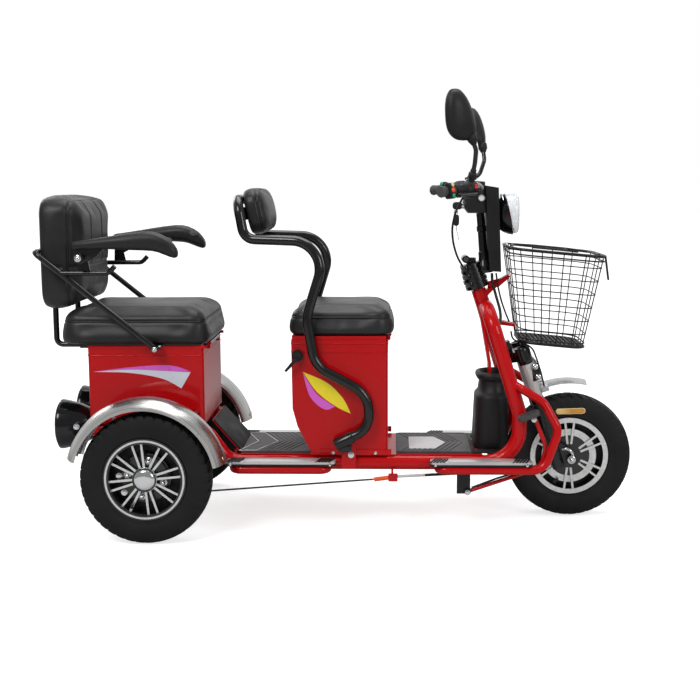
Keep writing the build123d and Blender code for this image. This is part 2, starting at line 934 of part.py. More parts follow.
lever_y = pedal_y + 12
lever_pivot = (front_x - 98, carrier_z + 9)
relay_x = mid_x + 278
relay_y = -rail_y - 20
rod_y = relay_y - 6
brake_arm_y = -(plate_back - 12)
with BuildPart() as brake_linkage:
    # lever under the pad, on a bush beside the front carrier
    add(
        bar(
            [
                (front_x - 120, lever_y, 324),
                (front_x - 86, lever_y, 240),
                (lever_pivot[0], lever_y, lever_pivot[1]),
            ],
            12,
            50,
        )
    )
    add(across(*lever_pivot, 10, -carrier_y + carrier_diameter / 2 + 6, lever_y + 8))
    # link back to the relay plate below the rail
    add(bar([(lever_pivot[0] - 2, lever_y, 180), (relay_x + 12, relay_y - 4, 107)], 11))
    add(across(relay_x + 12, 107, 9, relay_y - 12, relay_y + 12))
    add(block(relay_x - 18, relay_x + 20, relay_y - 3, relay_y + 3, 100, 163))
    add(
        block(
            relay_x - 18,
            relay_x + 20,
            relay_y + 3,
            relay_y + 13,
            157,
            rail_z - rail_diameter / 2 + 1 - seat,
        )
    )
    # rod with its adjuster, and the thin rod on to the arm of the rear brake
    add(bar([(relay_x - 16, relay_y, 158), (mid_x + 88, rod_y, 150)], 8))
    add(block(mid_x + 66, mid_x + 92, rod_y - 7, rod_y + 7, 137, 157))
    add(block(mid_x + 74, mid_x + 80, rod_y + 4, rod_y + 12, 156, rail_z - 17 - seat))
    add(bar([(mid_x + 70, rod_y, 147), (mid_x + 26, rod_y, 141)], 12))
    add(bar([(mid_x + 30, rod_y, 142), (rear_x + 46, brake_arm_y, axle_z - 59)], 5))
save(brake_linkage.part, "brake_linkage")

# ======================================================================================
# Fork, front fender, stem, handlebar and everything that steers with them
# ======================================================================================
fork_y = tyre_width / 2 + 24
fork_offset = 64
crown_low = -206
crown_high = -176
boss_high = -146
leg_radius = 14
slider_radius = 18
axle_local = steering.to_local_coords(Vector(front_x, 0, axle_z))

with BuildPart() as fork_crown:
    with BuildSketch(steering.offset(crown_low)):
        Circle(steerer_radius + 2)
        with Locations((fork_offset, -fork_y), (fork_offset, fork_y)):
            Circle(leg_radius + 8)
        with BuildLine():
            Polyline(
                (0, -steerer_radius - 2),
                (fork_offset, -fork_y - leg_radius - 7),
                (fork_offset + 20, -fork_y),
                (fork_offset + 20, fork_y),
                (fork_offset, fork_y + leg_radius + 7),
                (0, steerer_radius + 2),
                close=True,
            )
        make_face()
    extrude(amount=crown_high - crown_low)
    with BuildSketch(steering.offset(crown_high)):
        Circle(steerer_radius + 2)
        with Locations((20, 0)):
            Rectangle(40, 2 * steerer_radius + 4)
    extrude(amount=boss_high - crown_high)
    with BuildSketch(steering.offset(boss_high)):
        Circle(steerer_radius)
    extrude(amount=head_top + 20 - boss_high)
    with BuildSketch(steering.offset(crown_low)):
        with Locations((fork_offset, -fork_y), (fork_offset, fork_y)):
            Circle(leg_radius + seat)
    extrude(amount=crown_high - crown_low, mode=Mode.SUBTRACT)
save(fork_crown.part, "fork_crown")

with BuildPart() as fork_legs:
    for side in (-1, 1):
        with BuildSketch(steering.offset(crown_high + 4)):
            with Locations((fork_offset, side * fork_y)):
                Circle(leg_radius)
        extrude(amount=-160)
        with BuildSketch(steering.offset(crown_low - 80)):
            with Locations((fork_offset, side * fork_y)):
                Circle(slider_radius)
        extrude(amount=axle_local.Z - 14 - (crown_low - 80))
        low, high = sorted((side * (fork_y - 5), side * (fork_y + 5)))
        add(
            side_plate(
                [
                    (front_x + 12, axle_z - 14),
                    (front_x + 16, axle_z + 8),
                    (front_x - 30, axle_z + 46),
                    (front_x - 48, axle_z + 20),
                    (front_x - 36, axle_z - 14),
                ],
                low,
                high,
            )
        )
        low, high = sorted((side * (fork_y + 5), side * (fork_y + 15)))
        add(across(front_x, axle_z, 12, low, high))
    add(across(front_x, axle_z, front_axle_radius, -fork_y - 22, fork_y + 22))
save(fork_legs.part, "fork_legs")

front_fender_radius = tyre_radius + 45
fender_edge = radians(78)
fender_arc = 36
edge_drop = 8
edge_radius = front_fender_radius - edge_drop
fender_half = 46
with BuildPart() as front_fender:
    with BuildSketch(
        Plane(
            origin=front_centre,
            x_dir=(cos(fender_edge), 0, sin(fender_edge)),
            z_dir=(-sin(fender_edge), 0, cos(fender_edge)),
        )
    ):
        with BuildLine():
            ThreePointArc((edge_radius, -fender_half), (front_fender_radius, 0), (edge_radius, fender_half))
            Line((edge_radius, fender_half), (edge_radius - sheet, fender_half))
            ThreePointArc(
                (edge_radius - sheet, fender_half),
                (front_fender_radius - sheet, 0),
                (edge_radius - sheet, -fender_half),
            )
            Line((edge_radius - sheet, -fender_half), (edge_radius, -fender_half))
        make_face()
    revolve(axis=Axis(front_centre, (0, -1, 0)), revolution_arc=fender_arc)
    # ears that bolt the fender to both sliders
    ear_angle = fender_edge + radians(fender_arc - 3)
    ear_middle = steering.to_local_coords(
        Vector(front_x + edge_radius * cos(ear_angle), 0, axle_z + edge_radius * sin(ear_angle))
    )
    ear_level = ear_middle.Z + 7
    for side in (-1, 1):
        low, high = sorted((side * (fender_half - 12), side * (fork_y + 8)))
        ear_x = fork_offset + slider_radius + seat
        with BuildSketch(steering.offset(ear_level)):
            with Locations((ear_x + 11, (low + high) / 2)):
                Rectangle(22, high - low)
        extrude(amount=-14)
save(front_fender.part, "front_fender")

clamp_low = head_top + 4
clamp_high = head_top + 96
clamp_radius = 36
stem_offset = 44
stem_diameter = 25
with BuildPart() as handlebar_stem:
    with BuildSketch(steering.offset(clamp_low)):
        Circle(clamp_radius)
    extrude(amount=clamp_high - clamp_low)
    with BuildSketch(steering.offset(clamp_high - 34)):
        with BuildLine():
            Polyline(
                (0, -24), (stem_offset, -stem_diameter / 2), (stem_offset, stem_diameter / 2), (0, 24), close=True
            )
        make_face()
    extrude(amount=34)
    with BuildSketch(steering.offset(clamp_low)):
        Circle(steerer_radius + seat)
    extrude(amount=20, mode=Mode.SUBTRACT)
    add(
        bar(
            [
                (head_x + 6, 0, 745),
                (head_x - 14, 0, 886),
            ],
            stem_diameter,
        )
    )
save(handlebar_stem.part, "handlebar_stem")

bar_x = head_x - 20
bar_z = 966
bar_diameter = 22
grip_start = (bar_x + 2, 177, bar_z - 8)
grip_end = (bar_x - 108, 300, bar_z - 15)
with BuildPart() as handlebar:
    bends = [(bar_x, 85, bar_z), grip_start, grip_end]
    near = [(x, -y, z) for x, y, z in reversed(bends)]
    add(bar(near + bends, bar_diameter, [40, 60, 60, 40]))
save(handlebar.part, "handlebar")

grip_plane = {}
grip_length = 84
grip_radius = 17
with BuildPart() as handle_grips:
    for side in (-1, 1):
        start = Vector(grip_start[0], side * grip_start[1], grip_start[2])
        end = Vector(grip_end[0], side * grip_end[1], grip_end[2])
        inward = (start - end).normalized()
        grip_plane[side] = Plane(origin=end, z_dir=inward)
        with BuildSketch(grip_plane[side].offset(-5)):
            Circle(grip_radius)
        extrude(amount=grip_length + 5)
        with BuildSketch(grip_plane[side].offset(-seat)):
            Circle(bar_diameter / 2 + seat)
        extrude(amount=grip_length + seat, mode=Mode.SUBTRACT)
save(handle_grips.part, "handle_grips")

with BuildPart() as dash_housing:
    with BuildSketch(Plane.XZ.offset(46)):
        with BuildLine():
            Polyline(
                (head_x - 50, 902),
                (head_x - 40, 888),
                (head_x + 11.5, 888),
                (head_x + 6, 978),
                (head_x - 40, 982),
                (head_x - 56, 968),
                close=True,
            )
        make_face()
    extrude(amount=-92)
    add(across(bar_x, bar_z, bar_diameter / 2 + seat, -60, 60), mode=Mode.SUBTRACT)
save(dash_housing.part, "dash_housing")

with BuildPart() as front_panel:
    add(
        side_plate(
            [(head_x + 7, 966), (head_x + 22, 723), (head_x + 54, 721), (head_x + 44, 960)], -52, 52
        )
    )
save(front_panel.part, "front_panel")

lamp_face = Plane(
    origin=(head_x + 47.5 + seat, 0, 885),
    x_dir=(0, 1, 0),
    z_dir=(cos(radians(2.4)), 0, sin(radians(2.4))),
)
with BuildPart() as headlight:
    with BuildSketch(lamp_face):
        RectangleRounded(130, 118, 44)
    with BuildSketch(lamp_face.offset(38)):
        RectangleRounded(120, 104, 44)
    loft()
save(headlight.part, "headlight")

with BuildPart() as headlight_lens:
    with BuildSketch(lamp_face.offset(38 + seat)):
        RectangleRounded(120, 104, 44)
    extrude(amount=18)
    fillet(headlight_lens.faces().sort_by(Axis.X)[-1].edges(), 12)
save(headlight_lens.part, "headlight_lens")

control_start = grip_length + 1
control_length = 30
ring_start = 118  # clamp inboard of the switches, which carries the mirror
ring_length = 18
boss_height = 34
mirror_place = {-1: (mid_x + 250, -262, 1152), 1: (mid_x + 338, 262, 1140)}
mirror_turn = {-1: -55, 1: -8}  # degrees that each mirror is turned in from straight back
mirror_plane = {}
mirror_hold = {}
mirror_elbow = {}
mirror_foot = {}
for side in (-1, 1):
    turn = radians(mirror_turn[side])
    mirror_plane[side] = Plane(
        origin=mirror_place[side],
        x_dir=(sin(turn), side * cos(turn), 0),
        z_dir=(-cos(turn), side * sin(turn), 0),
    )
    mirror_hold[side] = mirror_plane[side].from_local_coords(Vector(-30, side * 50, 0))
    mirror_elbow[side] = mirror_hold[side] + Vector(20, -side * 22, -36)

cable_start = Vector(head_x - 66.5, -205, 934)
cable_next = Vector(head_x - 84.5, -180, 896)
with BuildPart() as hand_controls:
    for side in (-1, 1):
        with BuildSketch(grip_plane[side].offset(control_start)):
            Circle(20)
        extrude(amount=control_length)
        with BuildSketch(grip_plane[side].offset(control_start + control_length)):
            Circle(16)
        extrude(amount=ring_start - control_start - control_length)
        with BuildSketch(grip_plane[side].offset(ring_start)):
            Circle(23)
        extrude(amount=ring_length)
        # boss that takes the mirror's stalk
        clamp = grip_plane[side].offset(ring_start + ring_length / 2).origin
        rise = (mirror_elbow[side] - clamp).normalized()
        mirror_foot[side] = clamp + rise * (boss_height + seat)
        with BuildSketch(Plane(origin=clamp, z_dir=rise)):
            Circle(9)
        extrude(amount=boss_height)
    # socket of the brake cable
    with BuildSketch(Plane(origin=cable_start, z_dir=(cable_start - cable_next).normalized())):
        Circle(6)
    extrude(amount=22)
    for side in (-1, 1):
        with BuildSketch(grip_plane[side].offset(control_start - 1)):
            Circle(bar_diameter / 2 + seat)
        extrude(amount=ring_start + ring_length - control_start + 11, mode=Mode.SUBTRACT)
save(hand_controls.part, "hand_controls")

for name, side in sides.items():
    facing = mirror_plane[side]
    with BuildPart() as rear_mirror:
        with BuildSketch(facing):
            Ellipse(49, 72)
        extrude(amount=13, both=True)
        fillet(rear_mirror.faces().group_by(Axis(facing.origin, facing.z_dir))[0].edges(), 14)
        add(bar([mirror_hold[side], mirror_elbow[side], mirror_foot[side]], 12, 36))
    save(rear_mirror.part, f"mirror_{name}")


# ======================================================================================
# Cables, each held at both ends
# ======================================================================================
def cable(points, diameter, name):
    """A cable whose arcs are as large as the runs beside them allow."""
    places = [Vector(point) for point in points]
    bends = []
    for before, corner, after in zip(places, places[1:], places[2:]):
        turn = (corner - before).get_angle(after - corner)
        run = min((corner - before).length, (after - corner).length)
        bends.append(0.45 * run / tan(radians(turn / 2)))
    piece = bar(points, diameter, bends)
    print(name, "bend radii", [round(bend) for bend in bends])
    save(piece, name)


cable(
    [
        cable_start,
        cable_next,
        (head_x - 92.5, -148, 852),
        (head_x - 87.5, -114, 808),
        (head_x - 73.5, -74, 766),
        (head_x - 55.5, -30, 736.3),
    ],
    6,
    "brake_cable",
)
cable(
    [
        (head_x + 30, -19, 715.6),
        (head_x + 31, -20, 690),
        (head_x + 43, -34, 645),
        (head_x + 51, -60, 614),
        (head_x + 51, -88, 592),
        (head_x + 44, -108, 575),
    ],
    8,
    "wiring_loom",
)
cable(
    [
        (head_x + 42, -18, 715.8),
        (head_x + 47, -19, 680),
        (head_x + 57, -18, 638),
        (head_x + 70, -15, 602),
        (head_x + 82, -12, 573.75),
    ],
    5,
    "meter_cable",
)
cable(
    [
        steering.from_local_coords(Vector(*place))
        for place in (
            (53, -6, -122),
            (50, -8, -147),
            (73, -16, -163),
            (97, -28, -184),
            (98, -44, -225),
            (97, -54, -262),
            (93.6, -60, ear_level + 1),
        )
    ],
    5,
    "hub_cable",
)
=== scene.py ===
"""Finished pieces and finishes of a three-wheel electric scooter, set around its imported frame.

+X is forward, +Y is the rider's left, +Z is up. The scene is in metres; sizes are in mm.
"""

import functools
import math

import bmesh
import bpy
from bpy.props import FloatProperty, FloatVectorProperty, IntProperty, PointerProperty
from mathutils import Matrix, Vector
from mathutils.bvhtree import BVHTree


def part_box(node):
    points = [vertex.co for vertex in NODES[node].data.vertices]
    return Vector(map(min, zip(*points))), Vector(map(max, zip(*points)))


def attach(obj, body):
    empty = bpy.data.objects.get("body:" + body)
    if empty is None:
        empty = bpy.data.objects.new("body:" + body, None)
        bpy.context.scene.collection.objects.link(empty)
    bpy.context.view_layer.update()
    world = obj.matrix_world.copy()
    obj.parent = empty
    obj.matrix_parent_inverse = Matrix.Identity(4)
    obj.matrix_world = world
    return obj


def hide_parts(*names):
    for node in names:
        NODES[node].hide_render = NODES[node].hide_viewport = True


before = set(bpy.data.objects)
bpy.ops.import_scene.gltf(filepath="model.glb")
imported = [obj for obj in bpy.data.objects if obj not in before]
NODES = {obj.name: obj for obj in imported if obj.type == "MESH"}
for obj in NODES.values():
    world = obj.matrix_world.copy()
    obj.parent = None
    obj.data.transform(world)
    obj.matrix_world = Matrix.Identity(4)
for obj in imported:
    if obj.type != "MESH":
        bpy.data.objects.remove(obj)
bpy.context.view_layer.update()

bl_info = {
    "name": "Three-Wheel Scooter",
    "version": (1, 0, 0),
    "blender": (4, 5, 0),
    "location": "3D View > Sidebar > Scooter",
    "description": "Builds the finished pieces and materials of a three-wheel scooter",
    "category": "Add Mesh",
}

MM = 0.001
SIDES = {"right": -1, "left": 1}
ALONG_X = Matrix(((0, 0, 1, 0), (1, 0, 0, 0), (0, 1, 0, 0), (0, 0, 0, 1)))

# the axles, and the fork: its crown, its axis and the way it faces
FRONT_AXLE_X, REAR_AXLE_X, REAR_WHEEL_Y, AXLE_Z = 664.5, -523.5, 307.5, 181
FORK_CROWN = Vector((404.5, 0, 645))
FORK_AXIS = Vector((-math.sin(math.radians(18)), 0, math.cos(math.radians(18))))
FORK_AHEAD = Vector((math.cos(math.radians(18)), 0, math.sin(math.radians(18))))
FORK_LEG_AHEAD, FORK_LEG_ASIDE = 64, 64
SLIDER_TOP = -322


# ---------------------------------------------------------------------------------------
# Nodes and materials
# ---------------------------------------------------------------------------------------
def colour(code):
    """An sRGB hex value as the linear colour that a shader takes."""
    parts = [int(code[place : place + 2], 16) / 255 for place in (1, 3, 5)]
    return (*(p / 12.92 if p <= 0.04045 else ((p + 0.055) / 1.055) ** 2.4 for p in parts), 1.0)


def paint(value):
    """A colour given as a hex value, or by the name of one that a user may change."""
    if value.startswith("#"):
        return colour(value)
    return tuple(getattr(bpy.context.scene.scooter_colours, value))


def node(tree, kind, inputs=None, output=0, **settings):
    """Adds a node and gives one of its outputs; inputs are values or sockets, by name or number."""
    made = tree.nodes.new(kind)
    for name, value in settings.items():
        setattr(made, name, value)
    for key, value in (inputs or {}).items():
        if isinstance(value, bpy.types.NodeSocket):
            tree.links.new(value, made.inputs[key])
        else:
            made.inputs[key].default_value = value
    return made.outputs[output] if made.outputs else None


def mottle(tree, place, size, low, high, detail=3.0, stretch=(1, 1, 1)):
    """Noise whose patches are size mm across, as a value from low to high."""
    mapped = node(tree, "ShaderNodeMapping", {"Vector": place, "Scale": stretch})
    noise = {"Vector": mapped, "Scale": 1000 / size / 2, "Detail": detail}
    cloud = node(tree, "ShaderNodeTexNoise", noise)
    spread = {"Value": cloud, "From Min": 0.3, "From Max": 0.7, "To Min": low, "To Max": high}
    return node(tree, "ShaderNodeMapRange", spread)


def bump(tree, shader, height, depth):
    """Bends the surface's shading by a height whose full step is depth mm."""
    bent = node(tree, "ShaderNodeBump", {"Height": height, "Distance": depth * MM})
    tree.links.new(bent, shader.inputs["Normal"])


def blend(tree, factor, first, second):
    """A colour between two, each given as a paint, as numbers or as a socket."""
    first, second = (paint(end) if isinstance(end, str) else end for end in (first, second))
    ends = {"Factor": factor, 6: first, 7: second}
    return node(tree, "ShaderNodeMix", ends, 2, data_type="RGBA")


def within(tree, value, low, high):
    """1 where a value lies between two limits, else 0."""
    above = node(tree, "ShaderNodeMath", {0: value, 1: low}, operation="GREATER_THAN")
    below = node(tree, "ShaderNodeMath", {0: value, 1: high}, operation="LESS_THAN")
    return node(tree, "ShaderNodeMath", {0: above, 1: below}, operation="MULTIPLY")


def fork_legs(tree, shader, place):
    """Clear-coated satin steel above, black lacquer on the sliders."""
    local = {0: place, 1: FORK_CROWN * MM}
    local = node(tree, "ShaderNodeVectorMath", local, operation="SUBTRACT")
    along = {0: local, 1: FORK_AXIS}
    along = node(tree, "ShaderNodeVectorMath", along, "Value", operation="DOT_PRODUCT")
    slider = {0: along, 1: SLIDER_TOP * MM}
    slider = node(tree, "ShaderNodeMath", slider, operation="LESS_THAN")
    metal = node(tree, "ShaderNodeMath", {0: 1.0, 1: slider}, operation="SUBTRACT")
    bright = shader.inputs["Base Color"].links[0].from_socket
    tree.links.new(blend(tree, slider, bright, "#0d0d0e"), shader.inputs["Base Color"])
    tree.links.new(metal, shader.inputs["Metallic"])


def prisms(tree, shader, place):
    """A golden prism field under a clear skin, paler at one end."""
    across = node(tree, "ShaderNodeSeparateXYZ", {0: place}, "X")
    fade = {"Value": across, "From Min": 0.636, "From Max": 0.668}
    fade = node(tree, "ShaderNodeMapRange", fade)
    tree.links.new(blend(tree, fade, "#e0bb72", "#bd8128"), shader.inputs["Base Color"])
    cells = {"Vector": place, "Scale": 1000 / 3.0, "Randomness": 0.0}
    bump(tree, shader, node(tree, "ShaderNodeTexVoronoi", cells, "Distance"), 0.3)


def linkage_bands(tree, shader, place):
    """Red lever and link, black relay plate, zinc rod, orange adjuster sleeve, by place along X."""
    along = node(tree, "ShaderNodeSeparateXYZ", {0: place}, "X")
    base = shader.inputs["Base Color"].links[0].from_socket
    bands = ((0.24, 0.3725, "#161617"), (0.163, 0.24, "#b9bab6"))
    bands += ((0.09, 0.1362, "#e2571d"), (-1.0, 0.09, "#2a2a2b"))
    for low, high, code in bands:
        base = blend(tree, within(tree, along, low, high), base, code)
    tree.links.new(base, shader.inputs["Base Color"])


def bright_faces(x, *faces):
    """Faces of a wheel turned bright after its black lacquer was sprayed.

    Each face is its lowest and highest radius about the axle at x, and the same along the axle.
    """

    def extra(tree, shader, place):
        local = {0: place, 1: mm(x, 0, AXLE_Z)}
        local = node(tree, "ShaderNodeVectorMath", local, operation="SUBTRACT")
        parts = node(tree, "ShaderNodeSeparateXYZ", {0: local}).node.outputs
        flat = {"X": parts["X"], "Y": 0.0, "Z": parts["Z"]}
        flat = node(tree, "ShaderNodeCombineXYZ", flat)
        far = node(tree, "ShaderNodeVectorMath", {0: flat}, "Value", operation="LENGTH")
        radius = node(tree, "ShaderNodeMath", {0: far, 1: 1000.0}, operation="MULTIPLY")
        off = {0: parts["Y"], 1: 1000.0}
        off = node(tree, "ShaderNodeMath", off, operation="MULTIPLY")
        out = node(tree, "ShaderNodeMath", {0: off}, operation="ABSOLUTE")
        total = 0.0
        for low, high, inner, outer in faces:
            spot = {0: within(tree, radius, low, high), 1: within(tree, out, inner, outer)}
            spot = node(tree, "ShaderNodeMath", spot, operation="MULTIPLY")
            total = {0: spot, 1: total}
            total = node(tree, "ShaderNodeMath", total, operation="MAXIMUM")
        bright = shader.inputs["Base Color"].links[0].from_socket
        tree.links.new(blend(tree, total, "#101011", bright), shader.inputs["Base Color"])
        metal = node(tree, "ShaderNodeMath", {0: total, 1: 0.75}, operation="MULTIPLY")
        tree.links.new(metal, shader.inputs["Metallic"])
        rough = {"Value": total, "To Min": 0.34, "To Max": 0.3}
        rough = node(tree, "ShaderNodeMapRange", rough)
        tree.links.new(rough, shader.inputs["Roughness"])

    return extra


def textured(base, roughness):
    """A moulding with a fine spark-eroded texture."""
    gloss = (35, roughness - 0.06, roughness + 0.08)
    return {
        "base": base, "roughness": roughness, "gloss": gloss, "pebbles": (1.4, 0.1),
        "specular_ior_level": 0.3,
    }


def moulding(base, roughness=0.3, **coat):
    """A small coloured moulding or film, a little uneven in gloss."""
    gloss = (12, roughness * 0.8, roughness * 1.25)
    return {"base": base, "roughness": roughness, "gloss": gloss, **coat}


CAST = {
    "base": "#101011", "roughness": 0.3, "tone": (4, "#c9c9c7", "#dededc"),
    "relief": (8, 0.02, 1.0), "coat_weight": 0.3,
}
# stretches that turn patches into fine lines: rings round a tube, and streaks along a fender
RINGS = (1, 1, 30)
STREAKS = (1, 60, 1)
FINISHES = {
    # red enamel sprayed on steel and baked: deep colour under a clear gloss, faint orange peel
    "red_enamel": {
        "base": "#a90d13", "roughness": 0.3, "tone": (260, "enamel_deep", "enamel_bright"),
        "relief": (7, 0.03, 1.0),
        "specular_ior_level": 0.05, "coat_weight": 0.34, "coat_roughness": 0.05,
    },
    # black gloss powder coat on bent tube: nearly mirror-smooth with a slight ripple
    "black_enamel": {
        "base": "#0b0b0c", "roughness": 0.22, "gloss": (24, 0.18, 0.28), "relief": (6, 0.02, 1.0),
        "specular_ior_level": 0.3, "coat_weight": 0.35, "coat_roughness": 0.05,
    },
    # PVC-dipped steel wire: soft black gloss
    "coated_wire": {
        "base": "#101012", "roughness": 0.34, "gloss": (18, 0.28, 0.42),
        "specular_ior_level": 0.35,
    },
    # stainless sheet brushed along its length: long fine streaks that follow the arc
    "brushed_stainless": {
        "base": "#b4b3b1", "metallic": 1.0, "roughness": 0.27,
        "tone": (60, "#a6a5a3", "#c2c1bf", 6.0, STREAKS),
        "gloss": (60, 0.2, 0.36, 6.0, STREAKS),
        "relief": (60, 0.02, 6.0, STREAKS),
    },
    # bright nickel-chrome plate on nuts, caps and the lock
    "chrome": {"base": "#d2d3d4", "metallic": 1.0, "roughness": 0.1, "gloss": (10, 0.06, 0.16)},
    # ground and clear-coated steel: even satin with a faint turned grain
    "satin_steel": {
        "base": "#c4c5c6", "metallic": 1.0, "roughness": 0.3,
        "gloss": (40, 0.24, 0.38, 3.0, RINGS),
    },
    # yellow-passivated zinc on small bolts
    "zinc_yellow": {
        "base": "#c2a05a", "metallic": 1.0, "roughness": 0.3, "tone": (5, "#a98240", "#cfb780"),
    },
    # fork legs: clear-coated satin steel above, black lacquer on the sliders
    "fork_enamel": {
        "base": "#c4c5c6", "roughness": 0.3, "tone": (40, "#bcbdbe", "#d0d1d2", 3.0, RINGS),
        "gloss": (40, 0.22, 0.36, 3.0, RINGS), "extra": fork_legs,
    },
    # cast aluminium wheels: black lacquer, with faces turned bright after it was sprayed
    "front_cast_rim": {
        **CAST,
        "extra": bright_faces(
            FRONT_AXLE_X, (98.4, 113, 34.4, 36), (34, 99.4, 34.4, 36), (60, 79.2, 28.4, 29.6)
        ),
    },
    "rear_cast_rim": {
        **CAST,
        "extra": bright_faces(
            REAR_AXLE_X, (104.2, 109.6, 341.6, 344), (30, 100.4, 333.6, 335.4)
        ),
    },
    # brake linkage: red enamel, black lacquer, bare zinc and an orange plastic sleeve
    "linkage_paint": {
        "base": "#a90d13", "roughness": 0.3, "tone": (60, "enamel_deep", "enamel_bright"),
        "specular_ior_level": 0.2, "coat_weight": 0.2, "extra": linkage_bands,
    },
    # carbon-black tyre compound: dark, dry, slightly dusty in the low places
    "tyre_rubber": {
        "base": "#121213", "roughness": 0.62, "tone": (45, "#0d0d0e", "#151517"),
        "gloss": (30, 0.52, 0.72), "relief": (2.5, 0.08), "specular_ior_level": 0.25,
    },
    # moulded floor and pedal rubber: dark grey, matt
    "moulded_rubber": {
        "base": "#3a393a", "roughness": 0.58, "tone": (30, "#2f2e30", "#454446"),
        "relief": (3, 0.1),
    },
    # pale rubber of the bare plates in the mats
    "pale_rubber": moulding("#c3c3c5", 0.5),
    # pebbled black vinyl leather, stretched over foam: fine grain, soft sheen
    "black_leather": {
        "base": "#141415", "roughness": 0.44, "tone": (90, "#141415", "#202021"),
        "gloss": (50, 0.38, 0.5), "pebbles": (2.2, 0.35),
        "specular_ior_level": 0.27, "coat_weight": 0.1, "coat_roughness": 0.3,
    },
    # ABS mouldings: black housings, the grey battery case, softer black armrests
    "black_abs": textured("#131214", 0.48),
    "grey_case": textured("#4b4c4e", 0.5),
    "soft_black": textured("#1b1b1c", 0.42),
    # pearl-grey lacquered plastic of the side boards
    "silver_plastic": {
        "base": "#bdbab9", "metallic": 0.35, "roughness": 0.34,
        "tone": (60, "#b0adac", "#cac8c7"), "coat_weight": 0.5,
    },
    # clear polycarbonate
    "clear_plastic": {
        "base": "#f4f7f8", "roughness": 0.04, "gloss": (30, 0.02, 0.08),
        "transmission_weight": 0.9, "ior": 1.58,
    },
    # headlight cover: clear acrylic with a fine fluted inside that makes it look milky
    "milky_cover": {
        "base": "#eceef0", "roughness": 0.16, "tone": (25, "#e4e7ea", "#f6f7f8"),
        "specular_ior_level": 0.4, "transmission_weight": 0.55, "ior": 1.49,
    },
    # moulded amber acrylic of the tyre's reflector
    "amber_reflector": {
        "base": "#c08a30", "roughness": 0.22, "coat_weight": 0.6, "extra": prisms,
    },
    # printed vinyl films
    "yellow_film": moulding("leaf"),
    "violet_film": moulding("stripe"),
    "pearl_film": moulding("#c9ccd6"),
    # glossy acrylic lenses and small coloured ABS mouldings
    "smoked_lens": moulding("#2a0507", 0.12, coat_weight=1.0),
    "red_lens": moulding("#7d0a0c", 0.12, coat_weight=0.8),
    "orange_plastic": moulding("#e0501c"),
    "green_plastic": moulding("#1f9a6a"),
    "cream_plastic": moulding("#d9c793"),
    "red_plastic": moulding("#b01118"),
    "white_plastic": moulding("#dededd"),
    "glossy_black": moulding("#0c0c0e", 0.14, specular_ior_level=0.4),
    # silvered glass, and blackened steel bolts
    "mirror_glass": moulding("#8e9498", 0.03, metallic=1.0),
    "dark_steel": moulding("#55565a", 0.3, metallic=1.0),
}


@functools.cache
def finish_of(name):
    """The material of that name, made the first time it is asked for."""
    return finished(name, **FINISHES[name])


def finished(
    name, base, roughness, metallic=0.0, tone=None, gloss=None, relief=None, pebbles=None,
    extra=None, **coat,
):
    """A material, from its plain values and from patterns over its surface.

    tone is the patches' size and two paints; gloss is their size and two values of roughness;
    relief is their size and depth; each may end with the noise's detail and stretch. pebbles is
    the size and depth of rounded cells. extra adds what only this material has.
    """
    material = bpy.data.materials.new(name)
    material.use_nodes = True
    tree = material.node_tree
    shader = tree.nodes["Principled BSDF"]
    values = {"base_color": paint(base), "metallic": metallic, "roughness": roughness, **coat}
    for key, value in values.items():
        shader.inputs[key.replace("_", " ").title().replace("Ior", "IOR")].default_value = value
    place = node(tree, "ShaderNodeTexCoord", output="Object")
    if tone:
        size, first, second, *more = tone
        patches = mottle(tree, place, size, 0.0, 1.0, *more)
        tree.links.new(blend(tree, patches, first, second), shader.inputs["Base Color"])
    if gloss:
        tree.links.new(mottle(tree, place, *gloss), shader.inputs["Roughness"])
    if relief:
        size, depth, *more = relief
        bump(tree, shader, mottle(tree, place, size, 0.0, 1.0, *more), depth)
    if pebbles:
        size, depth = pebbles
        cells = {"Vector": place, "Scale": 1000 / size, "Randomness": 0.9}
        cells = node(tree, "ShaderNodeTexVoronoi", cells, "Distance", feature="SMOOTH_F1")
        bump(tree, shader, cells, depth)
    if extra:
        extra(tree, shader, place)
    return material


# ---------------------------------------------------------------------------------------
# Places and outlines
# ---------------------------------------------------------------------------------------
def mm(x, y, z):
    """A place given in millimetres."""
    return Vector((x, y, z)) * MM


def at(x, y, z):
    """A matrix that only moves, by millimetres."""
    return Matrix.Translation(mm(x, y, z))


def standing(origin, along, roll=0.0):
    """A matrix at a place in millimetres whose Z axis points along a direction."""
    turn = Vector(along).to_track_quat("Z", "Y").to_matrix().to_4x4()
    return at(*origin) @ turn @ Matrix.Rotation(math.radians(roll), 4, "Z")


def local_frame(origin, across, facing):
    """A matrix at a place in millimetres with its X and Z axes given."""
    x, z = Vector(across).normalized(), Vector(facing).normalized()
    return at(*origin) @ Matrix((x, z.cross(x), z)).transposed().to_4x4()


def rolled(place, way):
    """The same place, rolled about its Z axis until its X axis faces a direction."""
    way = place.to_3x3().inverted() @ Vector(way)
    return place @ Matrix.Rotation(math.atan2(way.y, way.x), 4, "Z")


def on_circle(x, y, z, radius, degrees):
    """A place on a circle about a level axle through x, y and z."""
    angle = math.radians(degrees)
    return (x + radius * math.cos(angle), y, z + radius * math.sin(angle))


def box_of(name):
    """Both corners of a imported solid's box, in millimetres."""
    return (Vector(corner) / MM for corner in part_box(name))


def rounded(width, height, radius, steps=6):
    """A rounded rectangle's outline, anticlockwise about its own middle."""
    corners = []
    for k, (sx, sy) in enumerate(((1, 1), (-1, 1), (-1, -1), (1, -1))):
        for step in range(steps + 1):
            angle = math.radians(90 * (k + step / steps))
            x = sx * (width / 2 - radius) + radius * math.cos(angle)
            y = sy * (height / 2 - radius) + radius * math.sin(angle)
            corners.append((x, y))
    return corners


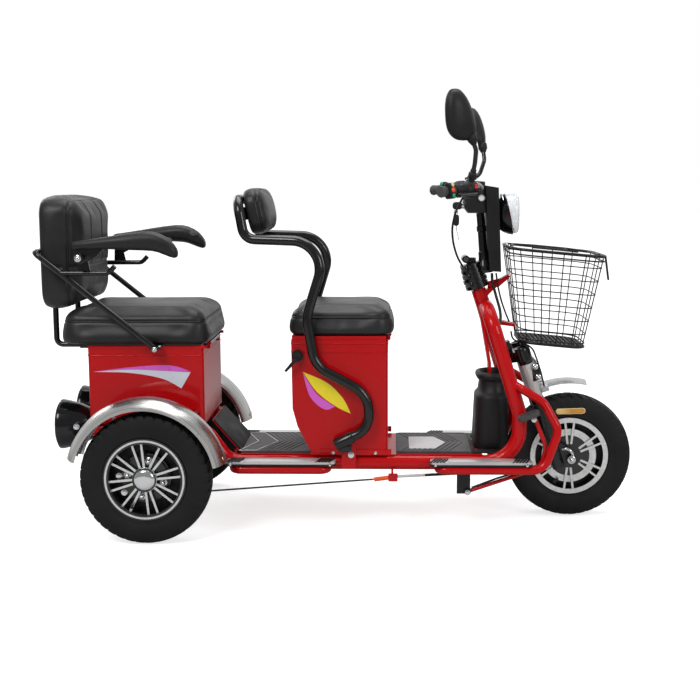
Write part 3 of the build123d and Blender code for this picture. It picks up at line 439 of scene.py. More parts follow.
def oval(half_width, half_height, count):
    """Points round an oval; with few of them it is a regular polygon."""
    angles = [2 * math.pi * k / count for k in range(count)]
    return [(half_width * math.cos(a), half_height * math.sin(a)) for a in angles]


# ---------------------------------------------------------------------------------------
# Mesh helpers
# ---------------------------------------------------------------------------------------
def skin(bm, rings, capped=False):
    """Faces from each ring of points to the next, and over both ends if they are capped."""
    for low, high in zip(rings, rings[1:]):
        for k, corner in enumerate(low):
            after = (k + 1) % len(low)
            corners = dict.fromkeys((corner, low[after], high[after], high[k]))
            if len(corners) > 2:
                bm.faces.new(list(corners))
    if capped:
        bm.faces.new(rings[0][::-1])
        bm.faces.new(rings[-1])


def turned(bm, place, profile, segments=32):
    """A lathe-turned shape: (radius, height) pairs in mm about the Z axis of place."""
    rings = []
    for radius, height in profile:
        if radius < 0.01:
            rings.append([bm.verts.new(place @ mm(0, 0, height))] * segments)
        else:
            spots = oval(radius, radius, segments)
            rings.append([bm.verts.new(place @ mm(x, y, height)) for x, y in spots])
    skin(bm, rings)


def plate(bm, place, outline, thickness, soften=0.0):
    """A plate with a softened rim: an outline in mm, raised along the Z axis of place."""
    low, high = (
        [bm.verts.new(place @ mm(x, y, level)) for x, y in outline] for level in (0, thickness)
    )
    ends = [bm.faces.new(low[::-1]), bm.faces.new(high)]
    skin(bm, [low, high])
    if soften:
        rims = [edge for face in ends for edge in face.edges]
        bmesh.ops.bevel(
            bm, geom=rims, offset=soften * MM, segments=2, profile=0.6, affect="EDGES",
            clamp_overlap=True,
        )


def side_plate(bm, low, outline, thickness, soften=0.0):
    """A plate that stands along X and Z, from y = low towards the left."""
    place = at(0, low + thickness, 0) @ Matrix.Rotation(math.radians(90), 4, "X")
    plate(bm, place, outline, thickness, soften)


def layered(bm, place, layers, steps=6):
    """A closed form through rounded rectangles: (height, width, depth, radius, x, y) in mm."""
    rings = []
    for height, width, depth, radius, x, y in layers:
        outline = rounded(width, depth, radius, steps)
        rings.append([bm.verts.new(place @ mm(x + u, y + v, height)) for u, v in outline])
    skin(bm, rings, capped=True)


def shell(bm, place, outline, rings):
    """A closed form over one outline: (height in mm, share of the outline's size) per ring."""
    lines = []
    for height, share in rings:
        lines.append([bm.verts.new(place @ mm(x * share, y * share, height)) for x, y in outline])
    skin(bm, lines, capped=True)


def form(*steps):
    """A new mesh from steps, each a maker followed by what it is given."""
    bm = bmesh.new()
    for maker, *given in steps:
        maker(bm, *given)
    return bm


def linked(name, mesh):
    """An object of that mesh, in the scene."""
    made = bpy.data.objects.new(name, mesh)
    bpy.context.scene.collection.objects.link(made)
    return made


def evaluated(piece):
    """The plain mesh that an object's modifiers make."""
    graph = bpy.context.evaluated_depsgraph_get()
    return bpy.data.meshes.new_from_object(piece.evaluated_get(graph), depsgraph=graph)


def piece_of(shape, name, material, body="frame", smooth=40):
    """Makes a finished piece from a mesh, or from a form, and lets it ride on its body."""
    if isinstance(shape, bmesh.types.BMesh):
        mesh = bpy.data.meshes.new(name)
        bmesh.ops.recalc_face_normals(shape, faces=shape.faces)
        shape.to_mesh(mesh)
        shape.free()
    else:
        mesh = shape
        mesh.name = name
    if not mesh.materials:
        mesh.materials.append(finish_of(material))
    mesh.shade_smooth()
    mesh.set_sharp_from_angle(angle=math.radians(smooth))
    piece = linked(name, mesh)
    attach(piece, body)
    return piece


def tree_named(name, **sockets):
    """An empty node tree with its inputs, and the outputs of its group input node, by name."""
    tree = bpy.data.node_groups.new(name, "GeometryNodeTree")
    tree.interface.new_socket("Geometry", in_out="INPUT", socket_type="NodeSocketGeometry")
    for label, kind in sockets.items():
        tree.interface.new_socket(label, in_out="INPUT", socket_type=f"NodeSocket{kind}")
    tree.interface.new_socket("Geometry", in_out="OUTPUT", socket_type="NodeSocketGeometry")
    return tree, tree.nodes.new("NodeGroupInput").outputs


def tree_ended(tree, given, geometry):
    """Makes a tree's geometry real, gives it the tree's material and hands it out."""
    real = node(tree, "GeometryNodeRealizeInstances", {"Geometry": geometry})
    dressed = {"Geometry": real, "Material": given["Material"]}
    dressed = node(tree, "GeometryNodeSetMaterial", dressed)
    node(tree, "NodeGroupOutput", {"Geometry": dressed})
    return tree


@functools.cache
def wires_tree():
    """Round wires along the edges of a mesh, with their corners turned to a radius."""
    tree, given = tree_named(
        "round_wires", Radius="Float", Corner="Float", Sides="Int", Material="Material"
    )
    paths = node(tree, "GeometryNodeMeshToCurve", {"Mesh": given["Geometry"]})
    eased = {"Curve": paths, "Radius": given["Corner"], "Limit Radius": True, "Count": 5}
    eased = node(tree, "GeometryNodeFilletCurve", eased, mode="POLY")
    ring = {"Resolution": given["Sides"], "Radius": given["Radius"]}
    ring = node(tree, "GeometryNodeCurvePrimitiveCircle", ring)
    swept = {"Curve": eased, "Profile Curve": ring, "Fill Caps": True}
    swept = node(tree, "GeometryNodeCurveToMesh", swept)
    return tree_ended(tree, given, swept)


@functools.cache
def copies_tree():
    """A copy of one piece on each point, turned by the point's own turn."""
    tree, given = tree_named("copies", Piece="Object", Scale="Float", Material="Material")
    source = node(tree, "GeometryNodeObjectInfo", {"Object": given["Piece"]}, "Geometry")
    kind = "GeometryNodeInputNamedAttribute"
    turn = node(tree, kind, {"Name": "turn"}, "Attribute", data_type="FLOAT_VECTOR")
    placed = {
        "Points": given["Geometry"], "Instance": source, "Rotation": turn, "Scale": given["Scale"]
    }
    placed = node(tree, "GeometryNodeInstanceOnPoints", placed)
    return tree_ended(tree, given, placed)


def grown(base, tree, name, **values):
    """Runs a node tree on a base mesh and gives the plain mesh that comes out."""
    bare = linked(name + "_base", base)
    modifier = bare.modifiers.new("grow", "NODES")
    modifier.node_group = tree
    for item in tree.interface.items_tree:
        if item.in_out == "INPUT" and item.name in values:
            modifier[item.identifier] = values[item.name]
    mesh = evaluated(bare)
    bpy.data.objects.remove(bare)
    if not mesh.vertices:
        raise RuntimeError(f"{name} came out empty")
    return mesh


def wires(paths, diameter, name, material, body="frame", corner=0.0, sides=10):
    """Round wires along paths in mm; a path whose ends meet is a ring."""
    base = bpy.data.meshes.new(name)
    points, edges = [], []
    for path in paths:
        path = [Vector(point) for point in path]
        ring = (path[0] - path[-1]).length < 0.01
        first = len(points)
        points += [point * MM for point in (path[:-1] if ring else path)]
        last = len(points) - 1
        edges += [(k, k + 1) for k in range(first, last)]
        if ring:
            edges.append((last, first))
    base.from_pydata(points, edges, [])
    values = {"Radius": diameter / 2 * MM, "Corner": corner * MM, "Sides": sides}
    mesh = grown(base, wires_tree(), name, Material=finish_of(material), **values)
    return piece_of(mesh, name, material, body, 50)


def copies(source, places, name, material="chrome", body="frame", smooth=40):
    """Copies of a small form at each matrix in places."""
    mesh = bpy.data.meshes.new(name + "_one")
    source.to_mesh(mesh)
    source.free()
    one = linked(name + "_one", mesh)
    base = bpy.data.meshes.new(name)
    base.from_pydata([place.translation for place in places], [], [])
    turns = base.attributes.new("turn", "FLOAT_VECTOR", "POINT")
    for k, place in enumerate(places):
        turns.data[k].vector = place.to_euler()
    given = {"Piece": one, "Scale": 1.0, "Material": finish_of(material)}
    mesh = grown(base, copies_tree(), name, **given)
    bpy.data.objects.remove(one)
    return piece_of(mesh, name, material, body, smooth)


def bolt(across_flats, height, washer=1.35):
    """A hexagon bolt head on its washer."""
    face = across_flats / 2
    rim = [(0, 0), (face * washer, 0), (face * washer, 0.8), (face, 1.2), (0, 1.2)]
    corner = face / math.cos(math.radians(30))
    head = oval(corner, corner, 6)
    return form((turned, Matrix(), rim, 20), (plate, at(0, 0, 1.1), head, height, face * 0.16))


def dome_nut(radius, height):
    """A closed nut: a flange, six flats and a dome."""
    flange = [(0, 0), (radius * 1.2, 0), (radius * 1.2, 1.5), (radius, 2.5), (0, 2.5)]
    inner, flats = radius * 0.82, height * 0.45
    dome = [(0, 2.4), (inner, 2.4), (inner, flats)]
    for step in range(1, 7):
        angle = math.radians(15 * step)
        dome.append((inner * math.cos(angle), height * (0.45 + 0.55 * math.sin(angle))))
    return form(
        (turned, Matrix(), flange, 24),
        (plate, at(0, 0, 2.2), oval(radius, radius, 6), flats, 0.6),
        (turned, Matrix(), dome, 24),
    )


# ---------------------------------------------------------------------------------------
# Sizes and colours that a user may change
# ---------------------------------------------------------------------------------------
class ScooterStage(bpy.types.PropertyGroup):
    lens: FloatProperty(name="Lens", description="Focal length", default=61.3, unit="CAMERA")
    distance: FloatProperty(
        name="Distance", description="From the camera to the middle plane", default=3.466,
        unit="LENGTH",
    )


def chosen_colour(name, description, code):
    """A property for a colour, given as a hex value."""
    return FloatVectorProperty(
        name=name, description=description, default=colour(code), size=4, min=0, max=1,
        subtype="COLOR",
    )


class ScooterColours(bpy.types.PropertyGroup):
    enamel_deep: chosen_colour("Deep enamel", "Darker patches of the enamel", "#a9070c")
    enamel_bright: chosen_colour("Bright enamel", "Lighter patches of the enamel", "#b90c10")
    leaf: chosen_colour("Leaf", "Upper leaf on the front box", "#e3cf1c")
    stripe: chosen_colour("Stripe", "Lower leaf and upper stripe on the boxes", "#c957bd")


class ScooterBasket(bpy.types.PropertyGroup):
    wire: FloatProperty(
        name="Wire", description="Diameter of the basket's wires", default=0.0032, unit="LENGTH"
    )
    rim: FloatProperty(
        name="Rim", description="Diameter of the basket's rim", default=0.0088, unit="LENGTH"
    )
    uprights: IntProperty(name="Uprights", description="Upright wires", default=17, min=8, max=60)
    rows: IntProperty(
        name="Rows", description="Level wires round the basket", default=6, min=2, max=20
    )


class ScooterSeats(bpy.types.PropertyGroup):
    piping: FloatProperty(
        name="Piping", description="Diameter of the sewn piping", default=0.0042, unit="LENGTH"
    )
    swell: FloatProperty(
        name="Swell", description="Most that a cushion may swell", default=0.009, unit="LENGTH"
    )


class ScooterWheels(bpy.types.PropertyGroup):
    lugs: IntProperty(
        name="Lugs", description="Tread lugs round each tyre", default=40, min=12, max=80
    )
    tread: FloatProperty(
        name="Tread depth", description="Depth of the tread's slots", default=0.0045,
        unit="LENGTH",
    )


# ---------------------------------------------------------------------------------------
# Operators
# ---------------------------------------------------------------------------------------
CAD_FINISHES = {
    "red_enamel": "main_frame side_board_carriers floor_panel front_box rear_box front_seat_base",
    "black_enamel": "guard_hoop rear_seat_frame fork_crown handlebar_stem handlebar rear_axle",
    "coated_wire": "basket",
    "brushed_stainless": "rear_fender_left rear_fender_right",
    "satin_steel": "front_fender",
    "linkage_paint": "brake_linkage",
    "fork_enamel": "fork_legs",
    "front_cast_rim": "front_rim",
    "rear_cast_rim": "rear_rim_left rear_rim_right",
    "tyre_rubber": "front_tyre rear_tyre_left rear_tyre_right",
    "moulded_rubber": "floor_mats brake_pedal handle_grips",
    "black_leather": "guard_pad front_seat_cushion rear_seat_cushion rear_backrest",
    "black_abs": (
        "box_lock footwell_cover front_panel headlight dash_housing hand_controls"
        " mirror_left mirror_right armrest_left armrest_right brake_cable wiring_loom"
        " meter_cable hub_cable"
    ),
    "silver_plastic": "side_boards",
    "clear_plastic": "headlight_lens",
    "grey_case": "battery_pack",
    "smoked_lens": "tail_lamps",
}
# each lamp's place and size in metres, and its power
LAMPS = {
    "key": ((-1.6, -3.2, 3.4), 1.6, 95),
    "fill": ((2.8, -2.6, 1.9), 1.4, 40),
    "top": ((0.1, 0.4, 3.6), 2.4, 75),
    "rear": ((-2.6, 2.6, 2.4), 1.6, 34),
}


def seen_rays(tree):
    """1 for what the camera sees, directly or through glass, and the outputs of the light path."""
    path = tree.nodes.new("ShaderNodeLightPath").outputs
    rays = {0: path["Is Camera Ray"], 1: path["Is Transmission Ray"]}
    return node(tree, "ShaderNodeMath", rays, operation="MAXIMUM"), path


class SCOOTER_OT_stage(bpy.types.Operator):
    """Camera, lamps, floor and background"""

    bl_idname = "scooter.stage"
    bl_label = "Stage"

    def execute(self, context):
        scene = context.scene
        scene.view_settings.view_transform = "Standard"
        sizes = scene.scooter_stage
        camera = bpy.data.cameras.new("camera")
        camera.lens, camera.sensor_width, camera.clip_end = sizes.lens, 36, 60
        # it stands on the right of the scooter and looks a little back and down
        yaw, pitch, roll = math.radians(2.07), math.radians(8.03), math.radians(-0.27)
        ahead = Vector(
            (-math.sin(yaw) * math.cos(pitch), math.cos(yaw) * math.cos(pitch), -math.sin(pitch))
        )
        right = ahead.cross(Vector((0, 0, 1))).normalized()
        up = right.cross(ahead)
        tilted_right = right * math.cos(roll) + up * math.sin(roll)
        tilted_up = up * math.cos(roll) - right * math.sin(roll)
        turn = Matrix((tilted_right, tilted_up, -ahead)).transposed().to_4x4()
        viewer = linked("camera", camera)
        viewer.matrix_world = Matrix.Translation((0.1485, -sizes.distance, 0.978)) @ turn
        scene.camera = viewer

        world = bpy.data.worlds.new("studio")
        scene.world = world
        world.use_nodes = True
        tree = world.node_tree
        seen, path = seen_rays(tree)
        # a polished surface sees the white wall behind the scooter, and the dim room before it
        way = node(tree, "ShaderNodeTexCoord", output="Generated")
        depth = node(tree, "ShaderNodeSeparateXYZ", {0: way}, "Y")
        wall = {"Value": depth, "From Min": -0.35, "From Max": 0.55, "To Min": 0.0, "To Max": 0.85}
        wall = node(tree, "ShaderNodeMapRange", wall)
        shiny = {0: path["Is Glossy Ray"], 1: wall}
        shiny = node(tree, "ShaderNodeMath", shiny, operation="MULTIPLY")
        share = node(tree, "ShaderNodeMath", {0: seen, 1: shiny}, operation="MAXIMUM")
        shade = blend(tree, share, (0.34, 0.345, 0.355, 1), (1, 1, 1, 1))
        tree.links.new(shade, tree.nodes["Background"].inputs["Color"])

        ground = bpy.data.meshes.new("floor")
        reach = 30
        corners = [(-reach, -reach, 0), (reach, -reach, 0), (reach, reach, 0), (-reach, reach, 0)]
        ground.from_pydata(corners, [], [(0, 1, 2, 3)])
        # pale studio paper: diffuse, with a glow that only the camera sees
        paper = bpy.data.materials.new("pale_floor")
        paper.use_nodes = True
        tree = paper.node_tree
        tree.nodes.clear()
        seen, path = seen_rays(tree)
        # the glow grows with distance, so that the floor and the wall meet unseen
        spot = node(tree, "ShaderNodeTexCoord", output="Object")
        away = node(tree, "ShaderNodeVectorMath", {0: spot}, "Value", operation="LENGTH")
        level = {"Value": away, "From Min": 1.3, "From Max": 3.2, "To Min": 0.72, "To Max": 1.02}
        level = node(tree, "ShaderNodeMapRange", level)
        glow = node(tree, "ShaderNodeMath", {0: seen, 1: level}, operation="MULTIPLY")
        lit = node(tree, "ShaderNodeBsdfDiffuse", {"Color": (0.62, 0.62, 0.62, 1)})
        glowing = node(tree, "ShaderNodeEmission", {"Strength": glow})
        total = node(tree, "ShaderNodeAddShader", {0: lit, 1: glowing})
        node(tree, "ShaderNodeOutputMaterial", {"Surface": total})
        ground.materials.append(paper)
        linked("floor", ground)

        for name, (spot, size, power) in LAMPS.items():
            lamp = bpy.data.lights.new(name, "AREA")
            lamp.size, lamp.energy = size, power
            aim = (Vector((0, 0, 0.5)) - Vector(spot)).to_track_quat("-Z", "Y")
            linked(name, lamp).matrix_world = Matrix.Translation(spot) @ aim.to_matrix().to_4x4()
        return {"FINISHED"}


class SCOOTER_OT_finishes(bpy.types.Operator):
    """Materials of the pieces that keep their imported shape"""

    bl_idname = "scooter.finishes"
    bl_label = "Finishes"

    def execute(self, context):
        for finish, names in CAD_FINISHES.items():
            for name in names.split():
                slots = NODES[name].data.materials
                slots.clear()
                slots.append(finish_of(finish))
        return {"FINISHED"}


def share_along(points, share):
    """A place at a share of the way round a closed line."""
    closed = points + points[:1]
    runs = [math.dist(a, b) for a, b in zip(closed, closed[1:])]
    left = share * sum(runs)
    for (a, b), run in zip(zip(closed, closed[1:]), runs):
        if left <= run:
            return [u + (v - u) * left / run for u, v in zip(a, b)]
        left -= run
    return closed[-1]


class SCOOTER_OT_basket(bpy.types.Operator):
    """Wire basket on the front"""

    bl_idname = "scooter.basket"
    bl_label = "Basket"

    def execute(self, context):
        sizes = context.scene.scooter_basket
        height, long, wide, leans = 268, (187, 278), (220, 304), 17
        turn = Matrix.Rotation(math.radians(5.5), 4, "Y")

        def place(x, y, z):
            return (mm(602.5, 0, 516) + turn @ mm(x, y, z)) / MM

        def outline(share, inset):
            """Points round the basket at a share of its height."""
            length, width = (a + (b - a) * share - 2 * inset for a, b in (long, wide))
            points = rounded(length, width, 50 + 14 * share - inset, 8)
            return [(x - leans * share, y) for x, y in points]

        def ring(share, inset, drop=0.0):
            points = [place(x, y, height * share - drop) for x, y in outline(share, inset)]
            return points + points[:1]

        half = sizes.wire / MM / 2
        rim = sizes.rim / MM / 2
        low, high = outline(0.0, half), outline(1.0, half + 1)
        uprights = []
        for k in range(sizes.uprights):
            share = (k + 0.5) / sizes.uprights
            foot, head = share_along(low, share), share_along(high, share)
            uprights.append([place(*foot, half), place(*head, height - rim)])
        wires(uprights, 2 * half, "basket_uprights", "coated_wire", sides=8)
        rows = [ring(k / (sizes.rows + 1), 3 * half) for k in range(1, sizes.rows + 1)]
        wires(rows, 2 * half, "basket_rows", "coated_wire", sides=8)

        # the floor's two crossing layers, each shorter where the corners are round
        grid = []
        for k in range(-7, 8):
            y = k * 13.5
            reach = long[0] / 2 - 4 - max(0, abs(y) - 62) * 0.55
            grid.append([place(-reach, y, half), place(reach, y, half)])
        for k in range(-6, 7):
            x = k * 13
            reach = wide[0] / 2 - 4 - max(0, abs(x) - 46) * 0.55
            grid.append([place(x, -reach, 3 * half), place(x, reach, 3 * half)])
        wires(grid, 2 * half, "basket_floor", "coated_wire", sides=8)
        hoops = [ring(1.0, rim, rim), ring(0.0, half + 0.6, -half)]
        wires(hoops, 2 * rim, "basket_rim", "coated_wire", sides=16)
        band = [ring(0.93, 2.6), ring(0.045, 2.6)]
        basket = wires(band, 4.4, "basket_band", "coated_wire", sides=12)
        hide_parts("basket")

        # clips where the rim hooks over the arm, the folded carrying handle, and the straps
        bm = bmesh.new()
        for y in (-34, 34):
            spot = standing(place(-150, y, height - 12), (0, 0, 1))
            plate(bm, spot, rounded(12, 17, 3, 3), 13, 1.2)
        piece_of(bm, "basket_clips", "chrome")
        handle = (
            (106, -60, 3), (98, 60, 2), (40, 136, 2), (-60, 140, 2), (-120, 116, 3), (-136, 40, 4),
        )
        handle = [place(x, y, height - drop) for x, y, drop in handle]
        wires([handle], 7, "basket_handle", "coated_wire", corner=30, sides=12)
        grip = [place(x, y, height - 5) for x, y in ((74, 118), (30, 139), (-60, 142))]
        wires([grip], 12, "basket_handle_grip", "moulded_rubber", corner=40, sides=16)
        bm = bmesh.new()
        for x, y in ((116, -108), (122, -70)):
            down = turn @ Vector((0.24, 0, -1))
            spot = local_frame(place(x, y, height - 4), (0, 1, 0), down)
            plate(bm, spot, rounded(13, 4, 1.6, 3), 66, 0.8)
        piece_of(bm, "basket_straps", "black_abs")
        return {"FINISHED"}


# the bead and side wall of a tyre: radius, and distance from its middle plane at width 80
TYRE_WALL = (
    (105.4, 27), (105.4, 30.6), (114.4, 30.6), (116.5, 33.4), (119.5, 34.6), (122, 34.2),
    (126, 35.8), (132, 37.6), (140, 39.2), (148, 39.9), (156, 39.4), (164, 38.4), (171, 36.8),
)


def tyre_form(centre, radius, half_width, lugs, depth):
    """A tyre's outside with tread slots cut between its shoulders, as one closed ring."""
    wall = [(r, y * half_width / 40) for r, y in TYRE_WALL]
    shoulder = half_width - 5
    crown = []
    for step in range(19):
        share = 1 - step / 9
        crown.append((radius - 5.5 * abs(share) ** 2.2, share * shoulder))
    profile = wall + crown + [(r, -y) for r, y in reversed(wall)]
    bm = bmesh.new()
    rows = []
    around = lugs * 8
    for k in range(around):
        angle = 2 * math.pi * k / around
        row = []
        for place, (r, y) in enumerate(profile):
            step = place - len(wall)
            turn = k + (4 if y < 0 else 0)
            if 0 <= step < len(crown):
                share = abs(y) / shoulder
                if share > 0.3 and (turn + round(6 * share)) % 8 in (0, 1):
                    r -= depth
                elif step in (6, 12):
                    r -= depth * 0.85
            elif r > 163 and (turn + 7) % 8 in (0, 1):
                r -= 1.0
                y *= 0.955
            row.append(bm.verts.new(centre + mm(r * math.cos(angle), y, r * math.sin(angle))))
        rows.append(row)
    skin(bm, rows + rows[:1])
    return bm


# each tyre's body, the middle of its wheel, and the side that its hub cap is on
WHEELS = {
    "front_tyre": ("front_wheel", FRONT_AXLE_X, 0, 0),
    "rear_tyre_left": ("rear_wheel_left", REAR_AXLE_X, REAR_WHEEL_Y, 1),
    "rear_tyre_right": ("rear_wheel_right", REAR_AXLE_X, -REAR_WHEEL_Y, -1),
}


class SCOOTER_OT_wheels(bpy.types.Operator):
    """Tyres with tread, hub caps, wheel nuts and the front reflector"""

    bl_idname = "scooter.wheels"
    bl_label = "Wheels"

    def execute(self, context):
        sizes = context.scene.scooter_wheels
        for name, (body, x, y, side) in WHEELS.items():
            low, high = box_of(name)
            radius, half = (high.z - low.z) / 2, (high.y - low.y) / 2
            bm = tyre_form(mm(x, y, radius), radius, half, sizes.lugs, sizes.tread / MM)
            tyre = piece_of(bm, name + "_tread", "tyre_rubber", body, 32)
            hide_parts(name)
            outward = side or -1
            hole = on_circle(x, y + outward * 20, radius, 92, 244)
            valve = [(0, 0), (4.4, 0), (4.2, 10), (3, 12), (3, 20), (3.6, 20.5), (3.6, 27)]
            valve += [(2.8, 28), (0, 28)]
            stem = math.radians(244)
            way = (-math.cos(stem), outward * 1.2, -math.sin(stem))
            bm = form((turned, standing(hole, way), valve, 16))
            piece_of(bm, name + "_valve", "moulded_rubber", body)
            if not side:
                continue
            out = (0, side, 0)
            shield = [(30, -16), (99, -16), (100, -15), (100, -11), (97, -10), (62, -13)]
            shield += [(30, -13), (30, -16)]
            bm = form((turned, standing((x, y, radius), out), shield, 48))
            piece_of(bm, f"{body}_dust_shield", "soft_black", body)
            cap = [(0, 0), (34, 0), (34.6, 2), (34, 7), (31.5, 8.2), (30.5, 8), (30, 9)]
            cap += [(28, 12), (24, 14.6), (18, 16.2), (10, 17), (0, 17.2)]
            bm = form((turned, standing((x, y + side * 26, radius), out), cap, 48))
            piece_of(bm, f"{body}_cap", "chrome", body)
            nuts = [
                standing(on_circle(x, y + side * 16, radius, 50, 78 + 90 * k), out)
                for k in range(4)
            ]
            copies(dome_nut(8.6, 17), nuts, f"{body}_nuts", "chrome", body, 50)
            heads = [
                standing(on_circle(x, y + side * 9.4, radius, 74, turn), out, 20)
                for turn in (176, 214)
            ]
            copies(bolt(13, 5), heads, f"{body}_drum_bolts", "chrome", body)

        # the reflector on the front tyre's right wall, in its frame
        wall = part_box("front_tyre")[0][1] / MM * 0.9
        bar = local_frame((665.5, wall, 315), (1, 0, 0.03), (0, -1, 0))
        bm = form((plate, bar, rounded(81, 13.5, 6, 6), 6.4, 1.6))
        piece_of(bm, "tyre_reflector", "amber_reflector", "front_wheel")
        bm = form((plate, bar, rounded(85, 17, 7.6, 6), 5, 1.2))
        piece_of(bm, "tyre_reflector_frame", "cream_plastic", "front_wheel")

        # dark disc inside the front rim
        disc = [(30, 3), (99, 3), (100, 4), (100, 7), (99, 8), (30, 8), (30, 3)]
        bm = form((turned, standing((FRONT_AXLE_X, 0, AXLE_Z), (0, 1, 0)), disc, 56))
        piece_of(bm, "front_rim_web", "soft_black", "front_wheel")

        # axle nuts and the bent torque arm on the front hub
        washer = [(0, -1), (11.5, -1), (11.5, 1), (0, 1)]
        washers, ends = (
            [standing((FRONT_AXLE_X, side * out, AXLE_Z), (0, side, 0)) for side in (-1, 1)]
            for out in (86, 87)
        )
        bm = form(*((turned, here, washer, 28) for here in washers))
        piece_of(bm, "front_axle_washers", "chrome", "steering")
        copies(dome_nut(9, 13), ends, "front_axle_nuts", "chrome", "steering", 50)
        arm = [(639, -73, 209), (649, -78, 212), (662, -80, 207), (668, -79, 196), (669, -77, 187)]
        wires([arm], 8.5, "front_torque_arm", "chrome", "steering", corner=14, sides=16)
        return {"FINISHED"}


def curve_through(points, bend=0.5, steps=8):
    """A smooth line through 2-D points, with the ends kept."""
    padded = [points[0], *points, points[-1]]
    line = []
    for a, b, c, d in zip(padded, padded[1:], padded[2:], padded[3:]):
        for step in range(steps):
            t = step / steps
            spot = []
            for p, q, r, s in zip(a, b, c, d):
                lead, trail = bend * (r - p), bend * (s - q)
                spot.append(
                    (2 * t**3 - 3 * t**2 + 1) * q
                    + (t**3 - 2 * t**2 + t) * lead
                    + (3 * t**2 - 2 * t**3) * r
                    + (t**3 - t**2) * trail
                )
            line.append(tuple(spot))
    line.append(tuple(points[-1]))
    return line


def sticker(name, upper, lower, y, material):
    """A thin printed film between two smooth lines on a flat side at y, in mm."""
    bm = bmesh.new()
    rows = []
    for top, base in zip(curve_through(upper), curve_through(lower)):
        outer, inner = (
            [bm.verts.new(mm(x, level, z)) for x, z in (top, base)] for level in (y - 0.35, y)
        )
        rows.append((*outer, *inner[::-1]))
    skin(bm, rows)
    bmesh.ops.remove_doubles(bm, verts=bm.verts, dist=1e-6)
    bmesh.ops.dissolve_degenerate(bm, edges=bm.edges, dist=1e-6)
    piece_of(bm, name, material)


LEAF_STEM, LEAF_POINT, STRIPE_TAIL = (-104, 449), (30, 330), (-694, 451)
# each sticker's box, film, upper line and lower line
STICKERS = {
    "leaf_upper": (
        "front_box", "yellow_film", [LEAF_STEM, (-36, 418), (8, 374), LEAF_POINT],
        [LEAF_STEM, (-66, 393), (-14, 352), LEAF_POINT],
    ),
    "leaf_lower": (
        "front_box", "violet_film", [(-104, 446), (-68, 389.5), (-30, 360), (-14, 350)],
        [(-104, 446), (-84, 378), (-44, 342), (-14, 350)],
    ),
    "stripe_upper": (
        "rear_box", "violet_film", [STRIPE_TAIL, (-590, 464), (-480, 470), (-418, 452)],
        [STRIPE_TAIL, (-590, 458), (-490, 454), (-418, 452)],
    ),
    "stripe_lower": (
        "rear_box", "pearl_film", [STRIPE_TAIL, (-590, 457.4), (-490, 453.4), (-419, 450)],
        [STRIPE_TAIL, (-590, 448), (-500, 432), (-446, 404)],
    ),
}


class SCOOTER_OT_boxes(bpy.types.Operator):
    """Pressed beads, flanges and plain leaf stickers on the two boxes"""

    bl_idname = "scooter.boxes"
    bl_label = "Boxes"

    def execute(self, context):
        beads = []
        for name, levels in (("front_box", (528.5, 504.5)), ("rear_box", (497.5,))):
            low, high = box_of(name)
            # the lid's hinge stands 11 mm ahead of the front wall
            x0, x1, y1 = low.x, high.x - 11, high.y
            for z in levels:
                beads += [[(x0 + 7, y, z), (x1 - 7, y, z)] for y in (-y1, y1)]
                beads += [[(x, -y1 + 9, z), (x, y1 - 9, z)] for x in (x1, x0)]
        wires(beads, 3.4, "box_beads", "red_enamel", sides=14)

        # folded bottom flange of the front box, a rail of the rear one, with their screws
        bm = bmesh.new()
        flange = [(-52, 210.5), (145, 210.5), (145, 228), (-58, 228)]
        rail = [(-708, 517), (-374, 517), (-374, 526), (-708, 526)]
        screws = []
        for side in (-1, 1):
            side_plate(bm, min(side * 160, side * 161.8), flange, 1.8, 0.7)
            side_plate(bm, min(side * 175, side * 176.6), rail, 1.6, 0.6)
            spots = [(100, 161.8, 217), (-20, 161.8, 217), (-640, 175.2, 318), (-430, 175.2, 318)]
            for x, y, z in spots:
                screws.append(standing((x, side * y, z), (0, side, 0)))
        piece_of(bm, "box_flanges", "red_enamel")
        screws += [standing((-710.7, y, 505), (-1, 0, 0)) for y in (-120, 0, 120)]
        copies(dome_nut(4.2, 4), screws, "box_screws", smooth=50)

        for side_name, side in SIDES.items():
            for name, (box, film, upper, lower) in STICKERS.items():
                y = side * abs(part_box(box)[0][1] / MM) + (0.35 if side > 0 else 0.0)
                sticker(f"{name}_{side_name}", upper, lower, y, film)

        # black clamps on the feet of the guard hoop, each over its bolt
        clamp = [(0, -1.5), (13, -1.5), (16.4, 0), (17, 3), (17, 52), (16.4, 54), (14.2, 55)]
        bm = bmesh.new()
        for side in (-1, 1):
            turned(bm, standing((-11.5, side * 190, 246), (94, 0, 47)), clamp, 32)
            foot = standing((14, side * 176.5, 236), (0, side, 0))
            plate(bm, foot, rounded(38, 24, 8, 4), 14, 3)
        piece_of(bm, "hoop_clamps", "black_enamel")
        feet = [standing((31, side * 176, 214), (0, side, 0)) for side in (-1, 1)]
        copies(bolt(13, 6), feet, "hoop_bolts")
        return {"FINISHED"}


def bowed(length, width):
    """A side board's outline: round at its corners, its outer edge drawn in towards the ends."""
    points = []
    for x, y in rounded(length, width, 12, 6):
        points.append((x, y * (1 - 0.16 * (2 * x / length) ** 2) if y < 0 else y))
    return points


SHIELD = [(196, -92), (272, -92), (304, -12), (272, 66), (196, 66)]
ARROW = [(-292, -122), (-244, -122), (-192, 0), (-244, 122), (-292, 122), (-250, 0)]


